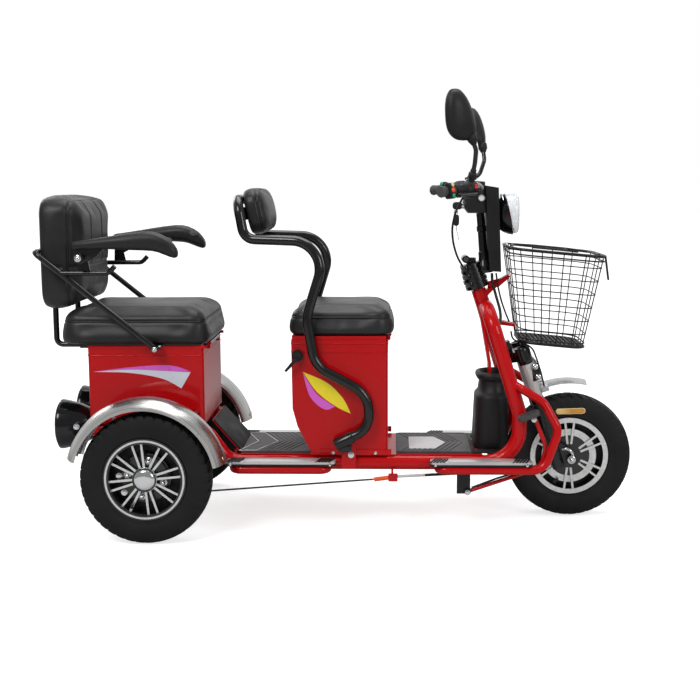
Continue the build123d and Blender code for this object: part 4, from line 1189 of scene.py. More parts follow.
class SCOOTER_OT_floor(bpy.types.Operator):
    """Side boards with slots, and the ribs and plates of the floor mats"""

    bl_idname = "scooter.floor"
    bl_label = "Floor and side boards"

    def execute(self, context):
        trays, tops, slots = bmesh.new(), bmesh.new(), bmesh.new()
        width, panel, slant = 58.7, 44, 9
        for side in (-1, 1):
            for x0, x1 in ((253.5, 538.5), (-320.5, -11.5)):
                spot = at((x0 + x1) / 2, side * 192.65, 190.3)
                length = x1 - x0
                plate(trays, spot, bowed(length, width), 5.2, 1.4)
                plate(tops, spot @ at(0, 0, 5), bowed(length - 2, width - 2), 6.6, 2.2)
                inner = length - 14 - 2 * panel
                raised = spot @ at(0, 0, 11.2)
                plate(tops, raised, rounded(inner, width - 13, 8, 4), 2.8, 1.3)
                half = (width - 11) / 2
                for end in (-1, 1):
                    for k in range(5):
                        x = end * (inner / 2 + 1 + (k + 0.5) * panel / 5)
                        low, high = x - slant, x + slant * 0.7
                        bar = [(low - 2.6, -half), (low + 2.6, -half), (high + 2.6, half)]
                        plate(slots, raised, [*bar, (high - 2.6, half)], 2.6, 0.7)
        board = piece_of(trays, "board_trays", "black_abs")
        piece_of(tops, "board_tops", "silver_plastic")
        piece_of(slots, "board_slots", "black_abs")
        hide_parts("side_boards")
        screws = [
            standing((x, side * 222.0, 196), (0, side, 0))
            for side in (-1, 1)
            for x in (522, 268, -26, -306)
        ]
        copies(dome_nut(3.6, 3.2), screws, "board_screws", smooth=50)

        # chevron ribs across each mat, with a pale shield or arrow left bare
        for name, x0, x1 in (("front", 158.5, 372.5), ("rear", -285.5, -85.5)):
            reach, ahead, thick = 124.0, 46.0, 3.4
            rib = bmesh.new()
            for side in (-1, 1):
                half = [(-thick, 0), (thick, 0)]
                half += [(thick - ahead, side * reach), (-thick - ahead, side * reach)]
                plate(rib, Matrix(), half[::side], 1.7, 0.6)
            spots, x = [], x0 + ahead + 12
            while x < x1 - 8:
                if name == "front" or x > ARROW[2][0] + 8:
                    spots.append(at(x, 0, 213.4))
                x += 15.0
            copies(rib, spots, f"{name}_mat_ribs", "moulded_rubber")
            bm = bmesh.new()
            lines = []
            wide, deep = x1 - x0 - 5, 259
            for inset, radius, z in ((0, 12, 0), (0, 12, 1.7), (8, 9, 1.7), (8, 9, 0)):
                outline = rounded(wide - inset, deep - inset, radius, 5)
                spot = at((x0 + x1) / 2, 0, 213.2 + z)
                lines.append([bm.verts.new(spot @ mm(x, y, 0)) for x, y in outline])
            skin(bm, lines + lines[:1])
            piece_of(bm, f"{name}_mat_rim", "moulded_rubber")
            bm = bmesh.new()
            if name == "front":
                plate(bm, at(0, 0, 213.3), SHIELD, 2.6, 0.7)
            else:
                for a, b in zip(ARROW, ARROW[1:] + ARROW[:1]):
                    run = Vector((b[0] - a[0], b[1] - a[1], 0))
                    plate(bm, standing((*a, 214.4), run), rounded(2.6, 2.6, 0.8, 2), run.length)
            piece_of(bm, f"{name}_mat_plate", "pale_rubber")
        return {"FINISHED"}


def puffed(bm, name, voxel, cap, held):
    """Fills a closed form like a stuffed cover: remesh, blow it up as cloth, cap the movement."""
    scene = bpy.context.scene
    mesh = bpy.data.meshes.new(name)
    bmesh.ops.recalc_face_normals(bm, faces=bm.faces)
    bm.to_mesh(mesh)
    bm.free()
    soft = linked(name, mesh)
    remesh = soft.modifiers.new("remesh", "REMESH")
    remesh.mode = "VOXEL"
    remesh.voxel_size = voxel * 1 * MM
    rest = evaluated(soft)
    soft.modifiers.remove(remesh)
    soft.data = rest
    start = [vert.co.copy() for vert in rest.vertices]
    pins = soft.vertex_groups.new(name="held")
    pins.add([k for k, spot in enumerate(start) if held(spot / MM)], 1.0, "REPLACE")
    cloth = soft.modifiers.new("cloth", "CLOTH")
    cloth.settings.use_pressure = True
    cloth.settings.uniform_pressure_force = 4
    cloth.settings.effector_weights.gravity = 0
    cloth.settings.vertex_group_mass = "held"
    cloth.settings.quality = 6
    cloth.point_cache.frame_start = 1
    cloth.point_cache.frame_end = 20
    for moment in range(1, 21):
        scene.frame_set(moment)
    blown = evaluated(soft)
    for before, vert in zip(start, blown.vertices):
        move = vert.co - before
        if move.length > cap * MM:
            vert.co = before + move.normalized() * cap * MM
    soft.modifiers.remove(cloth)
    soft.data = blown
    scene.frame_set(1)
    smooth = bmesh.new()
    smooth.from_mesh(soft.data)
    for _ in range(9):
        bmesh.ops.smooth_vert(
            smooth, verts=smooth.verts, factor=0.5,
            use_axis_x=True, use_axis_y=True, use_axis_z=True,
        )
    result = bpy.data.meshes.new(name)
    smooth.to_mesh(result)
    smooth.free()
    bpy.data.objects.remove(soft)
    return result


def sewn(mesh, name, source, body, grooves):
    """One subdivision, the seams pressed in, then the padded piece itself and its BVH tree."""
    bare = linked(name + "_bare", mesh)
    finer = bare.modifiers.new("finer", "SUBSURF")
    finer.levels = finer.render_levels = 1
    fine = evaluated(bare)
    bpy.data.objects.remove(bare)
    normals = [Vector(vert.normal) for vert in fine.vertices]
    for vert, normal in zip(fine.vertices, normals):
        sink = 0.0
        for distance, width, depth in grooves:
            away = distance(vert.co / MM, normal)
            if away is not None:
                sink += depth * math.exp(-((away / width) ** 2))
        vert.co -= normal * sink * MM
    fine.shade_smooth()
    tree = BVHTree.FromPolygons(
        [vert.co for vert in fine.vertices], [face.vertices for face in fine.polygons]
    )
    pad = piece_of(fine, name, "black_leather", body, 70)
    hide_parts(source)
    return tree


def piped(tree, starts, towards, diameter, name, body):
    """Piping on a pad's surface: each point found from outside, a little proud of it."""
    line = []
    for start in starts:
        start = Vector(start) * MM
        aim = (Vector(towards(start / MM)) * MM - start).normalized()
        spot, normal, _, _ = tree.ray_cast(start, aim, 0.5)
        if spot is not None:
            line.append((spot + normal * 0.6 * MM) / MM)
    wires([line + line[:1]], diameter, name, "black_leather", body)


# each pad's layers: a share of its depth, and the inset from its outline
CUSHION_SEAM = 0.66
CUSHION = (
    (0.0, 9), (0.05, 6), (0.2, 4.5), (0.4, 4), (CUSHION_SEAM - 0.04, 5.5), (CUSHION_SEAM, 7),
    (CUSHION_SEAM + 0.06, 6), (0.8, 7.5), (0.9, 13), (0.96, 26), (0.99, 60),
)
BACKREST = (
    (0.0, 7), (0.06, 2.5), (0.2, 0), (0.5, -0.5), (0.68, 0), (0.74, 1.5), (0.8, 0.5),
    (0.88, 3), (0.94, 9), (0.985, 22), (1.0, 52),
)
GUARD_PAD = (
    (0.0, 8), (0.08, 5), (0.3, 3.5), (0.52, 3.5), (0.6, 5.5), (0.68, 5), (0.8, 11),
    (0.9, 22), (0.96, 36),
)


def pad_layers(rows, base, deep, long, wide, radius, x=0, y=0):
    """A pad's layers; radius is the least and the full one, and what an inset takes off it."""
    least, full, drawn = radius
    layers = []
    for share, inset in rows:
        corner = max(least, full - inset * drawn)
        layers.append((base + deep * share, long - 2 * inset, wide - 2 * inset, corner, x, y))
    return layers


class SCOOTER_OT_seats(bpy.types.Operator):
    """Both seat cushions, the backrest and the guard pad, stuffed and sewn"""

    bl_idname = "scooter.seats"
    bl_label = "Seats"

    def execute(self, context):
        sizes = context.scene.scooter_seats
        piping = sizes.piping / MM
        for name, body, voxel in (
            ("front_seat_cushion", "front_seat", 5.5),
            ("rear_seat_cushion", "rear_seat", 6.0),
        ):
            low, high = box_of(name)
            x, y, z0 = (low.x + high.x) / 2, (low.y + high.y) / 2, low.z
            long, wide, tall = (b - a for a, b in zip(low, high))
            layers = pad_layers(CUSHION, z0, tall, long, wide, (12, 44, 0.3), x, y)
            bm = form((layered, Matrix(), layers, 8))
            mesh = puffed(bm, name, voxel, sizes.swell / MM, lambda spot, z0=z0: spot.z < z0 + 4)
            level = z0 + tall * CUSHION_SEAM

            def seam(spot, normal, level=level):
                return spot.z - level if abs(normal.z) < 0.9 else None

            tree = sewn(mesh, name + "_stuffed", name, body, [(seam, 4.0, 2.4)])
            starts = [(x + u, y + v, level) for u, v in rounded(long + 60, wide + 60, 70, 14)]

            def inwards(spot, x=x, y=y):
                return (x + (spot.x - x) * 0.3, y + (spot.y - y) * 0.3, spot.z)

            piped(tree, starts, inwards, piping, name + "_piping", body)

        # backrest: a deep pad with a side band, two sewn channels and a fold below the shoulders
        low, high = box_of("rear_backrest")
        x0, y, z, z0 = low.x, (low.y + high.y) / 2, (low.z + high.z) / 2, low.z
        deep, wide, tall = (b - a for a, b in zip(low, high))
        layers = pad_layers(BACKREST, 0, deep, wide, tall, (16, 46, 0.35))
        bm = form((layered, at(x0, y, z) @ ALONG_X, layers, 8))
        mesh = puffed(bm, "rear_backrest", 6.0, 10.0, lambda spot: spot.x < x0 + 4)
        fold = z0 + tall * 0.38
        shoulder = x0 + deep * 0.75
        # below the fold the front sits back, and above it bulges out
        for vert in mesh.vertices:
            ahead = (vert.co.x / MM - x0) / deep
            below = 1 / (1 + math.exp((vert.co.z / MM - fold) / 9))
            if ahead > 0.4:
                vert.co.x -= 5 * MM * below * (ahead - 0.4) / 0.6

        def channel(offset):
            return lambda spot, n: spot.y - y - offset if n.x > 0.3 and spot.z > fold else None

        grooves = [
            (lambda spot, n: spot.x - shoulder if abs(n.x) < 0.92 else None, 4.0, 2.6),
            (channel(62), 4.5, 3.2),
            (channel(-62), 4.5, 3.2),
            (lambda spot, n: spot.z - fold if n.x > 0.2 else None, 5.0, 3.0),
        ]
        tree = sewn(mesh, "backrest_stuffed", "rear_backrest", "rear_seat", grooves)
        starts = [(shoulder, y + u, z + v) for u, v in rounded(wide + 70, tall + 70, 90, 14)]

        def inwards(spot):
            return (spot.x, y + (spot.y - y) * 0.3, z + (spot.z - z) * 0.3)

        piped(tree, starts, inwards, piping, "backrest_piping", "rear_seat")

        # pad on the guard hoop, which leans back
        c, s = math.cos(math.radians(12)), math.sin(math.radians(12))
        lean = Matrix(((0, -s, c, 0), (1, 0, 0, 0), (0, c, s, 0), (0, 0, 0, 1)))
        plane = at(-276.5, 0, 889) @ lean
        back = plane.inverted()
        base, deep = 16.3, 61
        layers = pad_layers(GUARD_PAD, base, deep, 290, 136, (14, 46, 0.6))
        bm = form((layered, plane, layers, 8))
        mesh = puffed(
            bm, "guard_pad", 5.0, 7.0, lambda spot: (back @ (spot * MM)).z / MM < base + 2.7
        )
        level = base + deep * 0.6
        ahead = Vector((c, 0, s))

        def band(spot, normal):
            height = (back @ (spot * MM)).z / MM
            return height - level if abs(normal.dot(ahead)) < 0.92 else None

        tree = sewn(mesh, "guard_pad_stuffed", "guard_pad", "frame", [(band, 3.6, 2.4)])
        starts = [(plane @ mm(u, v, level)) / MM for u, v in rounded(340, 190, 70, 12)]
        centre = (plane @ mm(0, 0, level)) / MM

        def inwards(spot):
            return centre + (spot - centre) * 0.3

        piped(tree, starts, inwards, piping * 0.8, "guard_pad_piping", "frame")
        return {"FINISHED"}


def egg(half_width, half_height, slant, taper, steps=44):
    """A mirror's outline: a full oval that leans over and narrows towards its top."""
    points = []
    for k in range(steps):
        angle = 2 * math.pi * k / steps
        c, s = math.cos(angle), math.sin(angle)
        v = half_height * math.copysign(abs(s) ** 0.76, s)
        u = half_width * math.copysign(abs(c) ** 0.76, c) * (1 - taper * v / half_height)
        points.append((u - slant * v, v))
    return points


# centre, turn about the upright, backward tilt, outward lean, foot of the stalk, its bends
MIRRORS = {
    "right": (
        (327, -262, 1152), 55, 0.0, 0.22,
        (362.3, -210.7, 990), (369, -218, 1026), (371, -232, 1060),
    ),
    "left": (
        (408.5, 262, 1140), 4, 0.28, -0.22,
        (381.2, 206.8, 984), (411, 207, 994), (427, 210, 1042),
    ),
}
MIRROR_BACK = (
    (-11, 0.93), (-11.5, 0.97), (-8, 1.0), (-3, 1.0), (-1.5, 0.965), (1, 0.955),
    (8, 0.86), (13, 0.7), (16.5, 0.5), (18.5, 0.26), (19, 0.08),
)


class SCOOTER_OT_mirrors(bpy.types.Operator):
    """Both mirrors with their glass, sockets and stalks"""

    bl_idname = "scooter.mirrors"
    bl_label = "Mirrors"

    def execute(self, context):
        ball = [(0, -9), (11, -9), (13.5, -5), (13.5, 8), (10, 15), (8, 20), (0, 20)]
        collar = [(0, -12), (9, -12), (9, -3), (11, -3), (11.6, 0), (11.6, 9), (10, 12)]
        collar += [(8.2, 13), (8.2, 19), (7.2, 21), (0, 21)]
        for name, (centre, aside, tilt, lean, foot, *bends) in MIRRORS.items():
            angle = math.radians(aside)
            # the shell bulges away from the rider
            ahead = Vector((math.cos(angle), -math.sin(angle), tilt))
            place = local_frame(centre, Vector((0, 0, 1)).cross(ahead), ahead)
            outline = egg(44, 67, lean, 0.24)
            bm = form((shell, place, outline, MIRROR_BACK))
            mirror = piece_of(bm, f"mirror_{name}_shell", "black_abs", "steering", 50)
            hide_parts(f"mirror_{name}")
            bm = form((shell, place, outline, [(-12.4, 0.9), (-11.4, 0.91), (-9, 0.9)]))
            piece_of(bm, f"mirror_{name}_glass", "mirror_glass", "steering")
            socket = place @ mm(math.copysign(38, lean), -58, 0) / MM
            stalk = [foot, *bends, socket]
            wires([stalk], 12.5, f"mirror_{name}_stalk", "black_enamel", "steering", 30, 18)
            bm = form(
                (turned, standing(socket, Vector(bends[1]) - socket), ball, 28),
                (turned, standing(foot, Vector(bends[0]) - Vector(foot)), collar, 28),
            )
            piece_of(bm, f"mirror_{name}_joints", "black_abs", "steering")
        return {"FINISHED"}


GRIP_END = {side: Vector((276.5, side * 300, 951)) for side in (-1, 1)}
GRIP_START = {side: Vector((386.5, side * 177, 958)) for side in (-1, 1)}
SWITCH_DRUM = (
    (11.2, 47), (16, 47), (18.4, 49), (18.4, 64), (16.8, 65.5), (16.8, 70), (16, 71), (16, 92),
    (17.4, 93), (19.4, 96), (21.6, 101), (23.4, 107), (24, 114), (24, 128), (23, 133),
    (21.5, 136.2), (11.2, 136.4), (11.2, 47),
)
SWITCH_BOX = (
    (0, 18, 38, 5, 9, 0), (2, 22, 42, 6, 9, 0), (19, 22, 42, 6, 9, 0), (21, 18, 38, 5, 9, 0),
)
# for each side: how far along the grip its switch box starts, and the ways that box and the
# red button face
SWITCHES = {-1: (14, (0.5, -0.85, 0.1), (0.1, -1, 0.2)), 1: (44, (-0.8, 0, 0.1), (-1, 0, 0.3))}


class SCOOTER_OT_controls(bpy.types.Operator):
    """Ribbed grips, switch housings with their buttons, and the brake lever"""

    bl_idname = "scooter.controls"
    bl_label = "Handlebar controls"

    def execute(self, context):
        grip_form = [(0, -4.8), (11, -4.8), (14.5, -3.6), (15.6, -0.5), (15.2, 3)]
        for rib in range(7):
            z = 4 + rib * 5.4
            grip_form += [(13.2, z), (14.6, z + 0.9), (14.6, z + 3.4), (13.2, z + 4.3)]
        grip_form += [(15.6, 43), (15.6, 46), (11.1, 46.5), (11.1, 44), (0, 44)]
        knob = [(0, -5), (4.5, -4), (6, 0), (4.5, 4), (0, 5)]
        block_form = [(0, 0), (11, 0), (12, 1.5), (12, 16.5), (11, 18), (0, 18)]
        buttons = {name: [] for name in ("cream", "orange", "green", "red")}
        for name, side in SIDES.items():
            inward = (GRIP_START[side] - GRIP_END[side]).normalized()
            here = standing(GRIP_END[side], inward)
            bm = form((turned, here, grip_form, 36))
            grip = piece_of(bm, f"grip_{name}", "moulded_rubber", "steering")
            # a flat box beside the round housing carries the switches on the rider's side
            along, box_way, red_way = SWITCHES[side]
            box = rolled(here @ at(0, 0, along), box_way)
            bm = form((turned, here, SWITCH_DRUM, 44), (layered, box, SWITCH_BOX, 5))
            housing = piece_of(bm, f"switch_housing_{name}", "black_abs", "steering")
            if side < 0:
                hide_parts("handle_grips")
                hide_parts("hand_controls")
            for button, aside, size in (
                ("cream", 14.5, 5.2),
                ("orange", 1.5, 6.6),
                ("green", -13.5, 5.6),
            ):
                buttons[button].append((box @ at(20.2, side * aside, 10.5), size))
            red = rolled(here @ at(0, 0, 120), red_way) @ at(23.4, 0, 0)
            buttons["red"].append((red, 7.5 if side < 0 else 5.0))

            # brake lever in front of the grip, from a block on the bar
            pivot = here @ mm(0, 0, 112) / MM
            block = pivot + Vector((26, 0, -4))
            tip = GRIP_END[side] + Vector((48, side * 2, -10))
            bend = GRIP_END[side] + inward * 74 + Vector((44, 0, -10))
            lever = [[block, bend, tip]]
            wires(lever, 8.5, f"brake_lever_{name}", "black_enamel", "steering", 24, 14)
            up, down = (0, 0, 1), Vector((0, 0, -9))
            bm = form(
                (turned, standing(tip, (0, side, -0.05)), knob, 20),
                (turned, standing(block + down, up), block_form, 28),
                (plate, standing((pivot + block) / 2 + down, up), rounded(30, 20, 5, 3), 18, 2),
            )
            piece_of(bm, f"lever_block_{name}", "black_abs", "steering")
            top = standing(block + Vector((0, 0, 8.6)), up)
            copies(bolt(8, 3.4), [top], f"lever_bolt_{name}", body="steering")

        for name, spots in buttons.items():
            bm = bmesh.new()
            for place, size in spots:
                cap = [(0, -2), (size, -2), (size, 1.6), (size * 0.8, 2.8), (size * 0.4, 3.3)]
                out = place.to_3x3() @ Vector((1, 0, 0))
                turned(bm, standing(place.translation / MM, out), [*cap, (0, 3.4)], 24)
            piece_of(bm, f"{name}_buttons", f"{name}_plastic", "steering")
        return {"FINISHED"}


STEM_FOOT = (
    (0, -26), (23, -26), (24, -23), (24, -6), (20, 2), (15.5, 12), (14.6, 26), (14.6, 34),
    (12.6, 36), (11.6, 92), (14, 94), (14, 108), (11.6, 110), (11.6, 146), (0, 146),
)
# the blocks of the stem's hinge: centre and size
HINGE_BLOCKS = (
    (374, 0, 752, 30, 26, 16), (384, 0, 733, 44, 34, 22),
    (372, 24, 720, 26, 14, 14), (372, -24, 720, 26, 14, 14),
)
# the rings of the clamp's bellows: radius and length
BELLOWS = ((34, 15), (31, 3), (35.5, 11), (31, 3), (34, 12), (29, 4), (33, 10), (28, 3), (31, 10))
DASH = [(354.5, 902), (364.5, 888), (415.6, 888), (410.6, 977), (364.5, 981), (349, 967)]
# the headlight's bowl, and its cover's rings: share of the way forward, and scale
HEADLIGHT_BOWL = (
    (-34, 66, 58, 27, 0, -6), (-31, 78, 70, 33, 0, -5), (-22, 96, 92, 42, 0, -3),
    (-12, 110, 108, 45, 0, -1), (-4, 118, 116, 46, 0, 0), (-1, 121, 119, 47, 0, 0),
    (0.4, 121, 119, 47, 0, 0), (0.6, 112, 110, 43, 0, 0),
)
HEADLIGHT_COVER = ((0, 0.985), (0.06, 1), (0.4, 1), (0.75, 0.98), (0.92, 0.93), (1, 0.84))


class SCOOTER_OT_stem(bpy.types.Operator):
    """Stem clamp, dash with its key, headlight bowl and lens"""

    bl_idname = "scooter.stem"
    bl_label = "Stem, dash and headlight"

    def execute(self, context):
        # flared foot of the stem and its hinge knuckles
        knuckle = [(0, -31), (9, -31), (11, -29), (11, 29), (9, 31), (0, 31)]
        bm = form((turned, standing((413.5, 0, 742), (-0.09, 0, 1)), STEM_FOOT, 36))
        for x, y, z, wide, deep, tall in HINGE_BLOCKS:
            plate(bm, at(x, y, z - tall / 2), rounded(wide, deep, 6, 4), tall, 2.6)
        turned(bm, standing((359, 0, 756), (0, 1, 0)), knuckle, 28)
        stem = piece_of(bm, "stem_and_foot", "black_enamel", "steering")
        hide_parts("handlebar_stem")

        # ribbed sleeve round the steering head, with three clamping lugs on each side
        sleeve, level = [(0, 28), (31, 28), (34, 30)], 30.0
        for radius, run in BELLOWS:
            sleeve += [(radius, level), (radius, level + run)]
            level += run
        sleeve += [(26, level + 2), (0, level + 2)]
        bm = form((turned, standing(FORK_CROWN, FORK_AXIS), sleeve, 44))
        lugs = [FORK_CROWN + FORK_AXIS * height for height in (40, 64, 88)]
        for side in (-1, 1):
            for lug in lugs:
                spot = lug + Vector((-22, side * 26, 0)) - FORK_AXIS * 8
                plate(bm, standing(spot, FORK_AXIS), rounded(24, 18, 5, 3), 16, 2)
        piece_of(bm, "stem_clamp", "black_enamel", "steering")
        heads = [*(lug + Vector((-27, -35, 0)) for lug in lugs), (359, -31, 756)]
        heads = [standing(head, (0, -1, 0)) for head in heads]
        copies(bolt(10, 5), heads, "clamp_bolts", "dark_steel", "steering")

        # dash: a housing with a bright bezel round its lamp, and a screen for the rider
        bm = form((side_plate, -44, DASH, 88, 7))
        dash = piece_of(bm, "dash_case", "black_abs", "steering")
        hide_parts("dash_housing")
        ring = [(7.5, 0), (9.8, 0), (10.6, 1.5), (10.6, 4), (9.8, 5.5), (8.2, 5.5), (7.5, 4)]
        bm = form((turned, standing((400, -43.6, 930), (0.1, -1, 0.2)), [*ring, (7.5, 0)], 36))
        piece_of(bm, "dash_bezel", "chrome", "steering")
        lamp = [(0, 0), (7.8, 0), (7.8, 3.6), (6, 4.6), (0, 5)]
        bm = form((turned, standing((400, -43.4, 930), (0.1, -1, 0.2)), lamp, 32))
        piece_of(bm, "dash_lamp", "white_plastic", "steering")
        screen = standing((350.5, 0, 956), (-1, 0, 0.55), 90)
        bm = form((plate, screen, rounded(60, 26, 6, 4), 5, 1.4))
        piece_of(bm, "dash_screen", "smoked_lens", "steering")

        # key with its bow in the lock and a second one hanging on a ring
        lock = [(0, 0), (9, 0), (10, 1), (10, 7), (8, 8.5), (0, 8.5)]
        stub = [(334, 907.5), (334, 912.5), (346, 912.5), (346, 907.5)]
        bm = form(
            (turned, standing((353, -26, 910), (-1, 0, 0.1)), lock, 28),
            (side_plate, -29, stub, 2.4),
        )
        piece_of(bm, "key_lock", "chrome", "steering")
        bm = bmesh.new()
        for x, z, wide, tall in ((333, 909, 27, 21), (330, 868, 17, 33)):
            bow = [(x + u, z + v) for u, v in rounded(wide, tall, 8, 5)]
            side_plate(bm, -33, bow, 8, 2.4)
        piece_of(bm, "key_bows", "black_abs", "steering")
        blade = [(330, -29, 853), (332, -29, 838), (338, -29, 812)]
        ring = [(329 + x, -29, 891 + z) for x, z in oval(5, 8, 8)]
        wires([blade, ring + ring[:1]], 2.4, "hanging_key", "chrome", "steering", 3, 10)

        # headlight: a bowl whose rim leans back, under a clear cover that stands upright
        lamp = local_frame((480.5, 0, 884), (0, 1, 0), (0.979, 0, 0.203))
        bm = form((layered, lamp, HEADLIGHT_BOWL, 10))
        bowl = piece_of(bm, "headlight_bowl", "glossy_black", "steering", 50)
        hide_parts("headlight")
        upright = local_frame((508, 0, 887), (0, 1, 0), (1, 0, 0.02))
        bm = bmesh.new()
        rows = []
        for share, scale in HEADLIGHT_COVER:
            row = []
            for u, v in rounded(117, 113, 45, 10):
                u, v = u * scale, v * scale
                row.append(bm.verts.new((lamp @ mm(u, v, 0.8)).lerp(upright @ mm(u, v, 0), share)))
            rows.append(row)
        skin(bm, rows, capped=True)
        lens = piece_of(bm, "headlight_cover", "milky_cover", "steering", 60)
        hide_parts("headlight_lens")

        def arc(wide, tall, height, start, sweep, steps):
            """Part of an oval on the lamp's face, from one angle over a sweep in degrees."""
            angles = [math.radians(start + sweep * k / steps) for k in range(steps + 1)]
            spots = [mm(wide * math.cos(a), tall * math.sin(a), height) for a in angles]
            return [lamp @ spot / MM for spot in spots]

        brow = arc(57, 59.5, -9, 45, 90, 10)
        wires([brow], 4.6, "headlight_brow", "chrome", "steering", sides=14)
        line = arc(59.4, 58.6, 0.6, 82, 110, 12)
        wires([line], 1.8, "headlight_line", "red_plastic", "steering", sides=8)
        return {"FINISHED"}


# the footwell cover, a jug with a rolled lip: height, length and width as shares, and radius
FOOTWELL = (
    (0.001, 0.97, 0.97, 22), (0.03, 1.0, 1.0, 26), (0.12, 0.995, 0.99, 28), (0.4, 0.96, 0.95, 29),
    (0.66, 0.93, 0.9, 30), (0.695, 0.915, 0.885, 30), (0.715, 0.86, 0.82, 29),
    (0.74, 0.8, 0.76, 28), (0.86, 0.75, 0.7, 27), (0.885, 0.76, 0.7, 27),
    (0.9, 0.84, 0.76, 30), (0.935, 0.9, 0.8, 32), (0.965, 0.9, 0.8, 32), (0.99, 0.84, 0.75, 30),
    (0.998, 0.74, 0.68, 27), (0.97, 0.64, 0.62, 24), (0.9, 0.6, 0.58, 23),
)
KICK_PANEL = [(-288.1, 209.8), (-284.2, 209.8), (-284.4, 213.0), (-364.0, 301.2), (-367.0, 300.8)]


class SCOOTER_OT_footwell(bpy.types.Operator):
    """Footwell cover with its rolled lip, the rubber round it, and joins of the tubes"""

    bl_idname = "scooter.footwell"
    bl_label = "Footwell"

    def execute(self, context):
        low, high = box_of("footwell_cover")
        (long, wide, tall), middle, swell = high - low, (low.x + high.x) / 2, 14
        layers = []
        for share, length, width, radius in FOOTWELL:
            # the belly swells forward, round rather than boxy
            x = middle + swell / 2 + (1 - length) * long * 0.25
            size = ((long + swell) * length, wide * width, radius * 1.45)
            layers.append((low.z + tall * share, *size, x, 0))
        bm = form((layered, Matrix(), layers, 8))
        cover = piece_of(bm, "cover_shell", "black_abs", smooth=50)
        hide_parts("footwell_cover")

        # rubber round the cover, and on the kick panel behind the rear mat
        bm = form((side_plate, -114, KICK_PANEL, 228))
        for x0, x1, y0, y1 in (
            (372.8, 384.2, -132, 132),
            (384.2, 466, 88, 132),
            (384.2, 466, -132, -88),
        ):
            spot = at((x0 + x1) / 2, (y0 + y1) / 2, 209.6)
            plate(bm, spot, rounded(x1 - x0, y1 - y0, 3, 3), 3.6, 1)
        piece_of(bm, "footwell_rubber", "tyre_rubber")

        # the front carriers run on into the main tubes, and a gusset stiffens the basket arm
        joins = [
            [(528, side * 165, 391), (512, side * 158, 400), (494, side * 141, 408)]
            for side in (-1, 1)
        ]
        wires(joins, 24, "carrier_joins", "red_enamel", corner=14, sides=28)
        arm = [(424, 670), (456, 674), (486, 700), (489, 707), (424, 690)]
        piece_of(form((side_plate, -3, arm, 6, 1)), "arm_gusset", "red_enamel")
        return {"FINISHED"}


def fork_place(ahead, height, aside=0.0):
    """A place on the fork: ahead of the crown, along the steering axis and to one side."""
    return FORK_CROWN + FORK_AHEAD * ahead + FORK_AXIS * height + Vector((0, aside, 0))


class SCOOTER_OT_brake(bpy.types.Operator):
    """Ribbed brake pedal, its bolts, and the sleeves, tubes and brackets of the fork"""

    bl_idname = "scooter.brake"
    bl_label = "Brake pedal and fork brackets"

    def execute(self, context):
        low, high = box_of("brake_pedal")
        tread = at(*(low + high) / 2) @ Matrix.Rotation(math.radians(-20), 4, "Y")
        bm = form((plate, tread @ at(0, 0, -8), rounded(62, 45, 12, 6), 13, 4))
        for rib in range(-3, 4):
            plate(bm, tread @ at(rib * 7.6, 0, 4.4), rounded(3.8, 38, 1.8, 3), 2.6, 0.8)
        pedal = piece_of(bm, "pedal_pad", "moulded_rubber")
        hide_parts("brake_pedal")
        heads = ((543, -184.4, 318), (566.5, -190.5, 187), (360.5, -176.2, 107))
        heads = [standing(head, (0, -1, 0)) for head in heads]
        copies(bolt(11, 5.5), heads, "pedal_bolts")
        # black hose clipped along the top of the red link
        hose = [(372, -168, 119), (440, -171, 146), (505, -175, 168), (552, -178, 186)]
        wires([hose], 6, "link_hose", "black_enamel", corner=20, sides=12)

        # crown sleeves and boots, the bright tubes between them, the plate between the legs
        legs = [
            standing(fork_place(FORK_LEG_AHEAD, 0, side * FORK_LEG_ASIDE), FORK_AXIS)
            for side in (-1, 1)
        ]
        sleeve = [(14.2, -216), (20, -216), (21.5, -214), (21.5, -170), (20, -167)]
        sleeve += [(14.2, -167), (14.2, -216)]
        boot = [(14.3, -338), (17, -338), (19.4, -335), (19.4, -322), (17, -318), (14.3, -317)]
        boot += [(14.3, -338)]
        bm = form(*((turned, leg, line, 36) for leg in legs for line in (sleeve, boot)))
        piece_of(bm, "fork_sleeves", "black_enamel", "steering")
        tube = [(14.3, -317), (17.6, -317), (18.2, -315), (18.2, -217), (14.3, -216.5)]
        bm = form(*((turned, leg, [*tube, (14.3, -317)], 36) for leg in legs))
        piece_of(bm, "fork_tubes", "silver_plastic", "steering")
        face = local_frame(fork_place(92, -246), (0, 1, 0), FORK_AHEAD)
        bm = form((plate, face, rounded(86, 52, 8, 4), 3, 0.8))
        piece_of(bm, "fork_plate", "silver_plastic", "steering")

        # brackets on the outside of the legs, and the nuts that hold them
        heads = [
            standing(fork_place(84, height, side * 84), (0, side, 0))
            for side in (-1, 1)
            for height in (-262, -230)
        ]
        copies(dome_nut(7, 10), heads, "fork_nuts", body="steering", smooth=50)
        bracket = [fork_place(*spot) for spot in ((66, -270), (94, -270), (94, -222), (78, -222))]
        bracket = [(spot.x, spot.z) for spot in bracket]
        lows = (min(side * 83.2, side * 78.2) for side in (-1, 1))
        bm = form(*((side_plate, low, bracket, 5, 1.4) for low in lows))
        piece_of(bm, "fork_brackets", "black_enamel", "steering")
        return {"FINISHED"}


